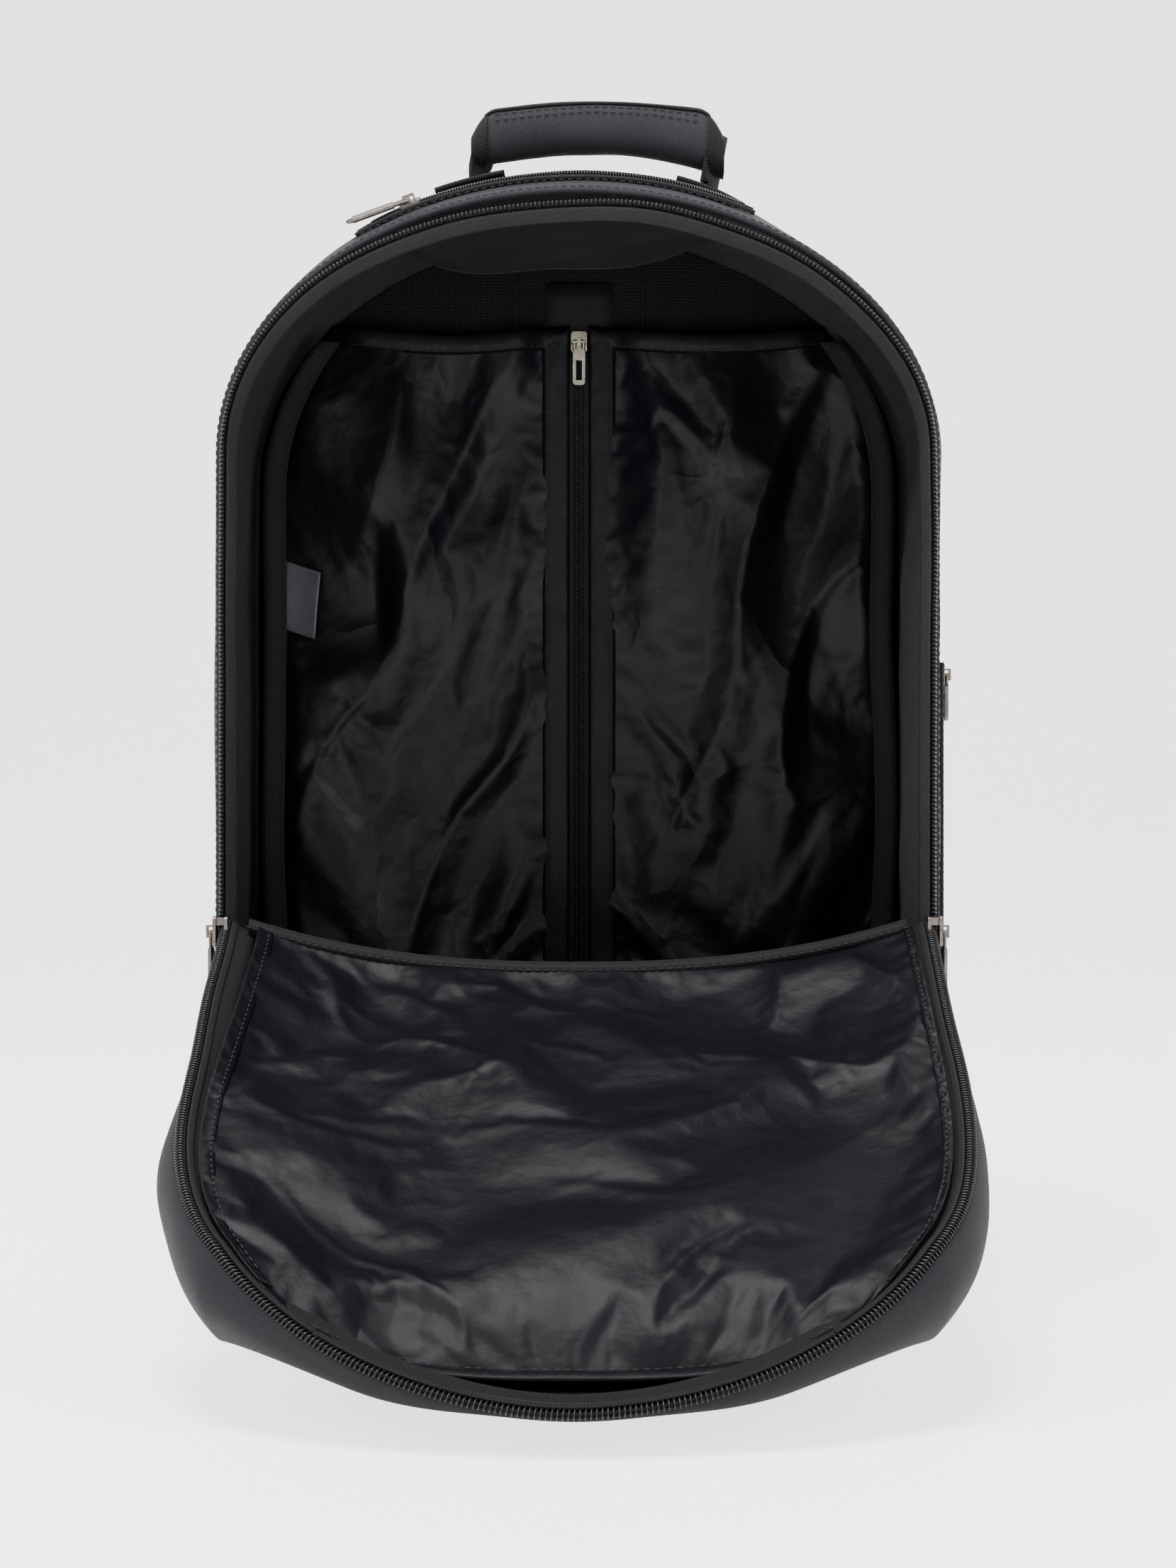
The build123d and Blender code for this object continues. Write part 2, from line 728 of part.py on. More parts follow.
def build_straps():
    pad_front = back
    pad_back = back + pad_thickness
    for side, name in ((-1, "left"), (1, "right")):
        x0 = side * pad_gap / 2
        x1 = side * (pad_gap / 2 + pad_width)
        pad = slab(min(x0, x1), max(x0, x1), pad_front, pad_back, pad_bottom, pad_top)
        pad = fillet(pad.edges().filter_by(Axis.Y), pad_corner)
        parts["back_pad_" + name] = pad
        strap_front = pad_back + strap_lift
        strap_middle = strap_front + strap_thickness / 2
        top = (side * strap_top_place, strap_middle, strap_hinge_height - strap_hinge_setback)
        bow_place = strap_top_place + (strap_end_place - strap_top_place) * strap_bow_share
        bow = (
            side * (bow_place + strap_bow), strap_middle,
            (strap_hinge_height + strap_end_height) / 2,
        )
        end = (side * strap_end_place, strap_middle, strap_end_height)
        path = ThreePointArc(top, bow, end)
        start = Plane(origin=path @ 0, x_dir=(0, 1, 0), z_dir=path % 0)
        profile = start * Rectangle(strap_thickness, strap_width)
        strap = sweep(profile, path=path)
        tab = slab(
            side * strap_top_place - strap_tab_half_width, side * strap_top_place + strap_tab_half_width,
            back + yoke_thickness + clearance, strap_front + strap_tab_overlap,
            strap_hinge_height - strap_tab_bottom, strap_hinge_height - strap_tab_top,
        )
        parts["shoulder_strap_" + name] = strap + tab
        yoke = slab(
            side * strap_top_place - yoke_half_width, side * strap_top_place + yoke_half_width,
            back, back + yoke_thickness,
            strap_hinge_height - yoke_bottom, strap_hinge_height + yoke_top,
        )
        parts["strap_yoke_" + name] = yoke

        # ladder lock at the strap's lower end
        lock_top = strap_end_height - lock_overlap
        lock = slab(
            end[0] - lock_half_width, end[0] + lock_half_width,
            strap_middle - lock_half_thickness, strap_middle + lock_half_thickness,
            lock_top - lock_length, lock_top,
        )
        lock = fillet(lock.edges().filter_by(Axis.Y), lock_corner)
        window = slab(
            end[0] - lock_window_half_width, end[0] + lock_window_half_width,
            back, strap_middle + strap_thickness, 0, lock_window_height,
        )
        for drop in lock_window_drops:
            lock = lock - Pos(0, 0, lock_top - drop) * window
        parts["ladder_lock_" + name] = lock

        # webbing that hangs from the ladder lock down to its anchor tab
        web_top = lock_top - lock_length
        anchor_x = side * (back_half_width - anchor_inset)
        run = math.hypot(anchor_x - end[0], web_top - anchor_height)
        lean = math.degrees(math.atan2(anchor_x - end[0], web_top - anchor_height))
        web = Box(strap_webbing_width, strap_webbing_thickness, run - 2 * strap_webbing_gap)
        centre = Location(((anchor_x + end[0]) / 2, strap_middle, (web_top + anchor_height) / 2))
        parts["strap_webbing_" + name] = centre * Rotation(0, -lean, 0) * web
        anchor = slab(
            anchor_x - anchor_half_width, anchor_x + anchor_half_width,
            back, back + anchor_thickness, anchor_height - anchor_bottom, anchor_height - anchor_top,
        )
        parts["strap_anchor_" + name] = fillet(anchor.edges().filter_by(Axis.Y), anchor_corner)


build_canvas_body()
build_body_zip()
build_main_sliders()
build_flap()
build_top_zip()
build_side_zip()
build_back_layers()
build_curtain()
build_handle()
build_straps()

os.makedirs("parts", exist_ok=True)
for name, shape in parts.items():
    export_step(shape, "parts/" + name + ".step")
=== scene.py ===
"""Travel backpack with its front panel unzipped and folded down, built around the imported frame."""
import math

import bmesh
import bpy
from mathutils import Matrix, Vector, noise


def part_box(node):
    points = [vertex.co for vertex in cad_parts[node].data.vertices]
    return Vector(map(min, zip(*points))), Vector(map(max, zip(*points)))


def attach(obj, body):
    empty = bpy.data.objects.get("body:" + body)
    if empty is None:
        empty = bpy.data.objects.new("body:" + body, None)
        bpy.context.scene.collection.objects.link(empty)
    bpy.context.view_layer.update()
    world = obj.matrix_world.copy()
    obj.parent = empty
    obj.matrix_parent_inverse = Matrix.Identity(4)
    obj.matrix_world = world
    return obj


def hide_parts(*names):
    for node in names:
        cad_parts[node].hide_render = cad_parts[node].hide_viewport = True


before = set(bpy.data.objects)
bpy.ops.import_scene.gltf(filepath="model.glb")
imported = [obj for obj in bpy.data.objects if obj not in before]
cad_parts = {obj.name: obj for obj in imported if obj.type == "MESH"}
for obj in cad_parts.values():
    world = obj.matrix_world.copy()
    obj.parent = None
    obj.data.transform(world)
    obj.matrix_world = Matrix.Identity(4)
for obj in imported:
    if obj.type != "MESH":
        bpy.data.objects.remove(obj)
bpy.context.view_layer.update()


# ---------------------------------------------------------------- stage, light and camera
# A seamless white table, soft light from overhead and from both sides of the camera, and a
# camera level with the middle of the bag, on its front.
camera_place = (0.00475, -1.402, 0.240)
camera_lens = 64.6
table_reach = 6.0
table_flat = 2.0            # the table sweeps up into a wall beyond this distance


def keep(name, bm):
    """Makes a smooth object of a bmesh and links it to the scene."""
    mesh = bpy.data.meshes.new(name)
    bm.to_mesh(mesh)
    bm.free()
    mesh.shade_smooth()
    made = bpy.data.objects.new(name, mesh)
    bpy.context.scene.collection.objects.link(made)
    return made


def paint(piece, material):
    """Gives a piece, or a CAD node, one material in every slot."""
    piece.data.materials.clear()
    piece.data.materials.append(material)


class Wire:
    """A node's output that takes part in Python sums, which add Math nodes."""

    def __init__(self, finish, socket):
        self.finish = finish
        self.socket = socket

    def maths(self, operation, other=0.0, flipped=False):
        first, second = (other, self) if flipped else (self, other)
        return self.finish.node("ShaderNodeMath", {"operation": operation}, [first, second])

    def __add__(self, other):
        return self.maths("ADD", other)

    def __sub__(self, other):
        return self.maths("SUBTRACT", other)

    def __rsub__(self, other):
        return self.maths("SUBTRACT", other, flipped=True)

    def __mul__(self, other):
        return self.maths("MULTIPLY", other)

    def __pow__(self, other):
        return self.maths("POWER", other)

    __radd__ = __add__
    __rmul__ = __mul__

    def sin(self):
        return self.maths("SINE")

    def part(self):
        return self.maths("FRACT")

    def size(self):
        return self.maths("ABSOLUTE")

    def pick(self, name):
        return Wire(self.finish, self.socket.node.outputs[name])


class Finish:
    """A material: constants go on the shader's own sockets, patterns through node()."""

    def __init__(self, name, **constants):
        self.material = bpy.data.materials.new(name)
        self.material.use_nodes = True
        self.tree = self.material.node_tree
        self.shader = self.tree.nodes["Principled BSDF"]
        for socket, value in constants.items():
            self.shader.inputs[socket.replace("_", " ")].default_value = value

    def node(self, kind, settings=None, values=()):
        """Adds a node, applies its settings, then its inputs by name or in order."""
        made = self.tree.nodes.new(kind)
        for key, value in (settings or {}).items():
            setattr(made, key, value)
        pairs = values.items() if isinstance(values, dict) else enumerate(values)
        for key, value in pairs:
            self.feed(made.inputs[key], value)
        shown = [socket for socket in made.outputs if socket.enabled]
        return Wire(self, shown[0])

    def feed(self, socket, value):
        if isinstance(value, Wire):
            self.tree.links.new(value.socket, socket)
        else:
            socket.default_value = value

    def coordinates(self, kind="Object"):
        return self.node("ShaderNodeTexCoord").pick(kind)

    def axes(self, where):
        split = self.node("ShaderNodeSeparateXYZ", None, [where])
        return split.pick("X"), split.pick("Y"), split.pick("Z")

    def noise(self, where, scale, detail=3.0, roughness=0.5):
        values = {"Vector": where, "Scale": scale, "Detail": detail, "Roughness": roughness}
        return self.node("ShaderNodeTexNoise", None, values)

    def blend(self, factor, dark, light):
        """Mix of two colours."""
        mix = self.node("ShaderNodeMix", {"data_type": "RGBA"})
        inputs = mix.socket.node.inputs
        self.feed(inputs[0], factor)
        self.feed(inputs[6], (*dark, 1.0))
        self.feed(inputs[7], (*light, 1.0))
        return Wire(self, mix.socket.node.outputs[2])

    def surface(self, colour, roughness=None, relief=None, depth=0.0005, strength=0.6):
        """Feeds colour, roughness and a height in 0 to 1 that becomes bump of that depth."""
        self.feed(self.shader.inputs["Base Color"], colour)
        if roughness is not None:
            self.feed(self.shader.inputs["Roughness"], roughness)
        if relief is not None:
            values = {"Strength": strength, "Distance": depth, "Height": relief}
            bump = self.node("ShaderNodeBump", None, values)
            self.feed(self.shader.inputs["Normal"], bump)
        return self.material


table = Finish("table_white", Roughness=0.8, Emission_Color=(1.0, 1.0, 1.0, 1.0), Emission_Strength=2.2)
table.surface(table.blend(table.noise(table.coordinates(), 3.0), (0.80, 0.80, 0.80), (0.82, 0.82, 0.82)))

bm = bmesh.new()
bmesh.ops.create_grid(bm, x_segments=2, y_segments=40, size=table_reach)
for vert in bm.verts:
    behind = max(0.0, vert.co.y - table_flat)
    vert.co.z = behind * behind * 0.35
tabletop = keep("tabletop", bm)
paint(tabletop, table.material)


def lamp(name, place, aim, size, power):
    light = bpy.data.lights.new(name, "AREA")
    light.size = size
    light.energy = power
    holder = bpy.data.objects.new(name, light)
    bpy.context.scene.collection.objects.link(holder)
    holder.location = place
    holder.rotation_euler = (Vector(aim) - Vector(place)).to_track_quat("-Z", "Y").to_euler()


lamp("overhead_softbox", (-0.25, -0.50, 2.0), (0.0, -0.05, 0.25), 0.9, 66)
lamp("left_softbox", (-1.7, -1.1, 1.5), (0.0, 0.0, 0.25), 0.8, 26)
lamp("right_softbox", (1.6, -1.2, 1.3), (0.0, 0.0, 0.25), 0.7, 20)
lamp("front_left_lamp", (-0.55, -2.0, 0.80), (0.0, 0.05, 0.25), 0.30, 7)
lamp("front_right_lamp", (0.75, -1.9, 0.65), (0.0, 0.05, 0.28), 0.28, 6)
lamp("back_rim", (0.3, 1.6, 1.7), (0.0, 0.0, 0.35), 1.2, 14)

world = bpy.data.worlds.new("pale_room")
world.use_nodes = True
world.node_tree.nodes["Background"].inputs["Color"].default_value = (1.0, 1.0, 1.0, 1.0)
world.node_tree.nodes["Background"].inputs["Strength"].default_value = 0.16
bpy.context.scene.world = world

camera = bpy.data.cameras.new("camera")
camera.lens = camera_lens
camera.sensor_width = 36.0
viewer = bpy.data.objects.new("camera", camera)
viewer.location = camera_place
viewer.rotation_euler = (math.radians(90), 0.0, 0.0)
bpy.context.scene.collection.objects.link(viewer)
bpy.context.scene.camera = viewer


# ---------------------------------------------------------------- canvas walls
# The gusset is one long strip of fine ribbed canvas that runs up one side, over the arched top
# and down the other. The bottom, the back and the lower front are sewn to it.
front_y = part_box("front_panel_lower")[0][1]
back_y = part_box("back_panel")[1][1]
front_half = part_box("body_zip_tape")[1][0]
middle_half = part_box("side_gusset_right")[1][0]
back_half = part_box("back_panel")[1][0]
front_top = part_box("body_zip_tape")[1][2]
middle_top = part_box("top_gusset")[1][2]
back_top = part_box("back_panel")[1][2]
arch_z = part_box("side_gusset_right")[1][2]
corner = 0.030
side_share = 0.30           # share of the strip's length on each straight side
canvas_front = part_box("side_gusset_right")[0][1]
canvas_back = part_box("back_panel")[0][1]
wall = 0.0026
fold_half = 0.152           # half the length of the fold that the flap hangs from
corner_share = 0.12         # share of the bottom strip's length in each lower corner


def ease(low, high, value):
    """0 below low, 1 above high, smooth between them."""
    share = min(1.0, max(0.0, (value - low) / (high - low)))
    return share * share * (3 - 2 * share)


def mixed(start, end, share):
    return start + (end - start) * share


def ripple(x, y, z, seed=0.0):
    """Smooth repeatable unevenness between -1 and 1."""
    return noise.noise(Vector((x, y, z + seed * 7.3)))


def middle(node):
    """Centre of a CAD node's box."""
    return [(low + high) / 2 for low, high in zip(*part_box(node))]


def traced(place, count):
    """Points of place(share) as the share goes from 0 to 1."""
    return [place(step / count) for step in range(count + 1)]


def low_bulge(z):
    """How far the loaded bottom of the bag swells its walls at a height."""
    return 0.007 * math.exp(-((z - 0.06) / 0.06) ** 2)


def curve_through(front_value, middle_value, back_value, y):
    share = y / back_y
    bend = (front_value + back_value) / 2 - middle_value
    return middle_value + (back_value - front_value) / 2 * share + bend * share * share


def half_at(y):
    return curve_through(front_half, middle_half, back_half, y)


def top_at(y):
    return curve_through(front_top, middle_top, back_top, y)


def strip_point(u, y, lift=0.0):
    """Point on the gusset strip: u runs from the lower left over the top to the lower right."""
    half = half_at(y) + lift
    top = top_at(y) + lift
    if u < side_share:
        outward = Vector((-1, 0, 0))
        point = Vector((-half, y, mixed(corner, arch_z, u / side_share)))
    elif u > 1 - side_share:
        outward = Vector((1, 0, 0))
        point = Vector((half, y, mixed(corner, arch_z, (1 - u) / side_share)))
    else:
        angle = math.pi * (u - side_share) / (1 - 2 * side_share)
        outward = Vector((-math.cos(angle), 0, math.sin(angle)))
        point = Vector((-half * math.cos(angle), y, arch_z + (top - arch_z) * math.sin(angle)))
    free = ease(canvas_front, canvas_front + 0.05, y) * ease(canvas_back, canvas_back - 0.04, y)
    sag = 0.0028 * ripple(point.x * 9, y * 14, point.z * 9)
    sag += 0.0014 * ripple(point.x * 26, y * 30, point.z * 26, 1)
    shoulder = -0.006 * math.exp(-((point.x - 0.12) / 0.05) ** 2) * ease(0.42, 0.50, point.z)
    return point + outward * ((sag + shoulder) * free + low_bulge(point.z))


def cloth(name, columns, rows, place, width=1.0, length=1.0):
    """Sheet laid by place(u, v), with a UV map in metres along its width and length."""
    bm = bmesh.new()
    layer = bm.loops.layers.uv.new("UVMap")
    bmesh.ops.create_grid(bm, x_segments=columns, y_segments=rows, size=0.5)
    for face in bm.faces:
        for loop in face.loops:
            loop[layer].uv = ((loop.vert.co.x + 0.5) * width, (loop.vert.co.y + 0.5) * length)
    for vert in bm.verts:
        vert.co = place(vert.co.x + 0.5, vert.co.y + 0.5)
    return keep(name, bm)


def thicken(piece, thickness, offset=0.0):
    """Gives a sheet its thickness. An offset of -1 puts it all behind the face."""
    solid = piece.modifiers.new("thickness", "SOLIDIFY")
    solid.thickness = thickness
    solid.offset = offset
    settle(piece)
    return piece


def settle(piece):
    """Applies a piece's modifiers."""
    evaluated = piece.evaluated_get(bpy.context.evaluated_depsgraph_get())
    mesh = bpy.data.meshes.new_from_object(evaluated)
    piece.modifiers.clear()
    piece.data = mesh


def canvas_finish(name, dark, light, pitch=0.00105, roughness=0.82):
    """Fine ribbed canvas: ribs across the strip, uneven threads, a dusty sheen on the ribs."""
    finish = Finish(name, Roughness=roughness, Sheen_Weight=0.03, Specular_IOR_Level=0.12)
    along, across, _ = finish.axes(finish.coordinates("UV"))
    where = finish.coordinates()
    rib = ((along + across * 0.35) * (2 * math.pi / pitch)).sin() * 0.5 + 0.5
    thread = (across * (2 * math.pi / 0.0006)).sin() * 0.5 + 0.5
    fuzz = finish.noise(where, 1400.0, 2.0)
    patch = finish.noise(where, 22.0, 4.0)
    tone = rib * 0.45 + thread * 0.12 + fuzz * 0.3 + patch * 0.35 - 0.12
    colour = finish.blend(tone, dark, light)
    return finish.surface(
        colour, 1 - (rib * 0.08 + fuzz * 0.14 + (1 - roughness)), rib * 0.8 + thread * 0.2 + fuzz * 0.25,
        0.00035, 0.75,
    )


outer_canvas = canvas_finish("outer_canvas", (0.0050, 0.0050, 0.0060), (0.0360, 0.0360, 0.0420))
inner_canvas = canvas_finish("inner_canvas", (0.0080, 0.0080, 0.0082), (0.0340, 0.0340, 0.0350), 0.0009, 0.7)
# The same outer canvas painted darker: painted shade for the pocket's belly, which lies under the flap near
# the floor.
pocket_canvas_painted_shade = canvas_finish("pocket_canvas_painted_shade", (0.0036, 0.0036, 0.0044), (0.0230, 0.0230, 0.0270))


def dress(piece, body, material, slot, *nodes):
    """Paints a new piece, lets it ride and puts it in place of CAD nodes; its slot argument is not used."""
    paint(piece, material)
    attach(piece, body)
    if nodes:
        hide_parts(*nodes)
    return piece


def panel(name, columns, rows, place, width, length, thickness, body, material, slot, *nodes):
    """Sheet of cloth with a thickness, dressed for its body."""
    sheet = cloth(name, columns, rows, place, width, length)
    thicken(sheet, thickness)
    return dress(sheet, body, material, slot, *nodes)


gusset = cloth(
    "gusset_canvas", 300, 44,
    lambda u, v: strip_point(u, mixed(canvas_front, canvas_back, v)), 1.24, 0.189,
)
thicken(gusset, wall, -1.0 if gusset.data.polygons[0].normal.x < 0 else 1.0)
dress(gusset, "bag", outer_canvas, "outer_canvas", "top_gusset", "side_gusset_left", "side_gusset_right")

backing = cloth(
    "gusset_backing", 200, 30,
    lambda u, v: strip_point(
        u, mixed(canvas_front + 0.003, canvas_back - 0.012, v),
        -0.0034 - 0.0130 * math.sin(math.pi * v) ** 1.5 * ease(0.66, 0.76, u) * (1 - ease(0.88, 0.97, u)),
    ),
    1.24, 0.175,
)
dress(backing, "bag", inner_canvas, "outer_canvas")


def bottom_point(u, v):
    """Bottom strip: up round each lower corner and flat on the floor between them."""
    y = mixed(canvas_front, canvas_back, v)
    half = half_at(y)
    if u < corner_share:
        angle = math.pi * (1 + 0.5 * u / corner_share)
        x = corner - half + corner * math.cos(angle)
        z = corner + corner * math.sin(angle)
    elif u > 1 - corner_share:
        angle = math.pi * (1.5 + 0.5 * (u - 1 + corner_share) / corner_share)
        x = half - corner + corner * math.cos(angle)
        z = corner + corner * math.sin(angle)
    else:
        x = mixed(corner - half, half - corner, (u - corner_share) / (1 - 2 * corner_share))
        z = 0.0
    rise = min(1.0, z / corner)
    swell = low_bulge(corner) * rise + 0.0035 * math.sin(math.pi * rise)
    return Vector((x + math.copysign(swell, x), y, z + 0.0004))


bottom = cloth("bottom_canvas", 120, 20, bottom_point, 0.36, 0.189)
thicken(bottom, wall, -1.0 if bottom.data.polygons[len(bottom.data.polygons) // 2].normal.z < 0 else 1.0)
dress(bottom, "bag", outer_canvas, "outer_canvas", "bottom_panel")


def lower_front_point(u, v):
    """Lower front panel: turns back into the gusset at its sides and at the floor."""
    turn = 0.06             # share of the panel in each rounded edge
    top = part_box("front_panel_lower")[1][2]
    half = front_half + 0.001
    x = mixed(-half, half, u)
    z = mixed(0.002, top - 0.022 * max(0.0, 1 - abs(x / fold_half) ** 2.4), v)
    rounding = sum(0.008 * (1 - min(1.0, edge / turn)) ** 2 for edge in (min(u, 1 - u), v))
    low = corner * 0.9
    if z < low:
        limit = half - low + math.sqrt(max(0.0, low * low - (low - z) ** 2))
        x = max(-limit, min(limit, x))
    puff = 0.0009 * math.sin(math.pi * u) * math.sin(math.pi * v)
    return Vector((x + low_bulge(z) * (2 * u - 1), front_y + rounding - puff, z))


panel(
    "lower_front_canvas", 90, 40, lower_front_point, 0.33, 0.165, wall,
    "bag", outer_canvas, "outer_canvas", "front_panel_lower",
)


def back_point(u, v):
    """Back panel: fills the outline at the back, from its left edge to its right edge."""
    z = mixed(0.002, back_top, math.sin(v * math.pi / 2))
    half = back_half
    if z > arch_z:
        rise = (z - arch_z) / (back_top - arch_z)
        half = back_half * math.sqrt(max(0.0, 1 - rise * rise))
    elif z < corner:
        half = back_half - corner + math.sqrt(max(0.0, corner * corner - (corner - z) ** 2))
    x = mixed(-half, half, u)
    puff = 0.0008 * math.sin(math.pi * u) * math.sin(math.pi * v)
    return Vector((x, back_y - 0.0012 + puff, z))


panel(
    "back_canvas", 60, 90, back_point, 0.34, 0.53, 0.0024,
    "bag", outer_canvas, "outer_canvas", "back_panel",
)


# ---------------------------------------------------------------- piping and stitches of the walls
# A round cord covered in canvas is sewn into the seam between the gusset and the back panel,
# and rows of lock stitch run beside the seams.
def cord_mesh(name, points, radius, sides=2, closed=False):
    """Round cord along points, as a mesh."""
    curve = bpy.data.curves.new(name, "CURVE")
    curve.dimensions = "3D"
    curve.bevel_depth = radius
    curve.bevel_resolution = sides
    curve.use_fill_caps = not closed
    spline = curve.splines.new("POLY")
    spline.points.add(len(points) - 1)
    for knot, place in zip(spline.points, points):
        knot.co = (*place, 1.0)
    spline.use_cyclic_u = closed
    shaped = bpy.data.objects.new(name, curve)
    bpy.context.scene.collection.objects.link(shaped)
    mesh = bpy.data.meshes.new_from_object(shaped.evaluated_get(bpy.context.evaluated_depsgraph_get()))
    bpy.data.objects.remove(shaped)
    bpy.data.curves.remove(curve)
    mesh.shade_smooth()
    made = bpy.data.objects.new(name, mesh)
    bpy.context.scene.collection.objects.link(made)
    return made


def spaced(points, step):
    """Points at an even step along a polyline, each with its direction."""
    places = [Vector(point) for point in points]
    out = []
    left = 0.0
    for start, end in zip(places, places[1:]):
        run = (end - start).length
        if run < 1e-9:
            continue
        way = (end - start) / run
        while left <= run:
            out.append((start + way * left, way))
            left += step
        left -= run
    return out


def repeat(name, template, places):
    """One mesh of copies of a template bmesh, one at each matrix."""
    pattern = bpy.data.meshes.new(name + "_pattern")
    template.to_mesh(pattern)
    template.free()
    bm = bmesh.new()
    for matrix in places:
        before = len(bm.verts)
        bm.from_mesh(pattern)
        bm.verts.ensure_lookup_table()
        bmesh.ops.transform(bm, matrix=matrix, verts=bm.verts[before:])
    bpy.data.meshes.remove(pattern)
    return keep(name, bm)


def facing(place, way, up):
    """Matrix whose X runs along way and whose Z is as near up as it can be."""
    x = way.normalized()
    y = up.cross(x).normalized()
    z = x.cross(y)
    turn = Matrix((x, y, z)).transposed().to_4x4()
    return Matrix.Translation(place) @ turn


thread = Finish("sewing_thread", Roughness=0.6, Specular_IOR_Level=0.2)
twist = (thread.axes(thread.coordinates())[2] * 9000.0).sin() * 0.5 + 0.5
thread.surface(thread.blend(twist, (0.008, 0.008, 0.009), (0.030, 0.030, 0.033)), 0.60 + twist * 0.1)


def stitches(name, points, up, body, length=0.0030, gap=0.0011, radius=0.00038):
    """Row of lock stitches along points. up is a direction or a function of the place."""
    bm = bmesh.new()
    bmesh.ops.create_uvsphere(bm, u_segments=6, v_segments=4, radius=1.0)
    bmesh.ops.rotate(bm, verts=bm.verts, cent=(0, 0, 0), matrix=Matrix.Rotation(math.pi / 2, 3, "Y"))
    bmesh.ops.scale(bm, verts=bm.verts, vec=(length / 2, radius, radius * 0.8))
    places = []
    for place, way in spaced(points, length + gap):
        normal = up(place) if callable(up) else Vector(up)
        places.append(facing(place, way, normal))
    row = repeat(name, bm, places)
    paint(row, thread.material)
    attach(row, body)
    return row


def seam_line(y, lift):
    return traced(lambda share: strip_point(share, y, lift), 160)


def strip_up(place):
    if place.z < arch_z:
        return Vector((1 if place.x > 0 else -1, 0, 0))
    return Vector((place.x / middle_half, 0, (place.z - arch_z) / (middle_top - arch_z))).normalized()


piping = cord_mesh("back_piping", seam_line(canvas_back + 0.0012, 0.0006), 0.0022, 3)
dress(piping, "bag", outer_canvas, "outer_canvas")
for name, y in (("front_seam_stitches", canvas_front + 0.004), ("back_seam_stitches", canvas_back - 0.005)):
    stitches(name, seam_line(y, 0.0002), strip_up, "bag")


# ---------------------------------------------------------------- main zip on the bag
# Half of a heavy coil zip: a woven tape sewn inside the canvas edge, and a row of nylon loops
# wound round a filler cord and sewn along the tape's edge.
zip_y = middle("body_zip_coil")[1]
zip_half = (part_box("body_zip_coil")[1][0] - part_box("body_zip_coil")[0][0]) / 2 - 0.0016
zip_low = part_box("body_zip_coil")[0][2]
zip_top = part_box("body_zip_coil")[1][2] - 0.0016
tooth_pitch = 0.0020
tooth_reach = 0.0026        # half the width of the row of loops
tooth_height = 0.0014
tooth_wire = 0.00048


def mouth_point(u, lift=0.0, y=zip_y):
    """Edge of the big opening, from its lower left end over the top to its lower right end."""
    share = 0.27
    if u < share:
        point = Vector((-zip_half - lift, y, mixed(zip_low, arch_z, u / share)))
        free = ease(0.30, 1.0, u / share) * 0.7
    elif u > 1 - share:
        point = Vector((zip_half + lift, y, mixed(zip_low, arch_z, (1 - u) / share)))
        free = ease(0.30, 1.0, (1 - u) / share) * 0.7
    else:
        angle = math.pi * (u - share) / (1 - 2 * share)
        rise = zip_top - arch_z + lift
        point = Vector((-(zip_half + lift) * math.cos(angle), y, arch_z + rise * math.sin(angle)))
        free = 0.7 + 0.3 * math.sin(angle)
    outward = Vector((point.x, 0, max(0.0, point.z - arch_z))).normalized()
    wave = 0.0022 * ripple(point.x * 16, 0.4, point.z * 16, 3) * free
    return point + outward * wave


def mouth_up(place):
    return Vector((place.x, 0, max(0.0, place.z - arch_z))).normalized()


def tooth_template(reach, height, wire, lean=0.3):
    """One loop of the coil: runs along X, reaches along Y, stands along Z."""
    bm = bmesh.new()
    bmesh.ops.create_circle(bm, segments=5, radius=wire)
    bmesh.ops.rotate(bm, verts=bm.verts, cent=(0, 0, 0), matrix=Matrix.Rotation(math.pi / 2, 3, "X"))
    bmesh.ops.translate(bm, verts=bm.verts, vec=(0, 0, height - wire))
    bmesh.ops.spin(
        bm, geom=bm.edges[:], cent=(0, 0, 0), axis=(1, 0, 0), dvec=(0, 0, 0),
        angle=2 * math.pi, steps=9, use_merge=True,
    )
    bmesh.ops.remove_doubles(bm, verts=bm.verts, dist=wire * 0.05)
    bmesh.ops.scale(bm, verts=bm.verts, vec=(1, reach / height, 1))
    for vert in bm.verts:
        vert.co.x += lean * wire * 2 * vert.co.y / reach
    bmesh.ops.recalc_face_normals(bm, faces=bm.faces)
    return bm


def coil_row(name, places, up, reach=tooth_reach, height=tooth_height, wire=tooth_wire, pitch=tooth_pitch):
    """Row of coil loops along a line of points."""
    matrices = [facing(place, way, up(place)) for place, way in spaced(places, pitch)]
    return repeat(name, tooth_template(reach, height, wire), matrices)


coil_black = Finish("coil_nylon", Roughness=0.27, Specular_IOR_Level=0.34)
scuff = coil_black.noise(coil_black.coordinates(), 320.0, 2.0)
coil_black.surface(
    coil_black.blend(scuff, (0.0035, 0.0035, 0.0035), (0.012, 0.012, 0.012)), 0.22 + scuff * 0.2
)

tape_black = Finish("zip_tape", Roughness=0.75, Sheen_Weight=0.02, Specular_IOR_Level=0.12)
run, span, _ = tape_black.axes(tape_black.coordinates("UV"))
chevron = ((run + (span * 900.0).part().size() * 0.0006) * 5200.0).sin() * 0.5 + 0.5
tape_black.surface(
    tape_black.blend(chevron, (0.0030, 0.0030, 0.0032), (0.0120, 0.0120, 0.0125)), 0.68 + chevron * 0.12,
    chevron, 0.0002, 0.7
)

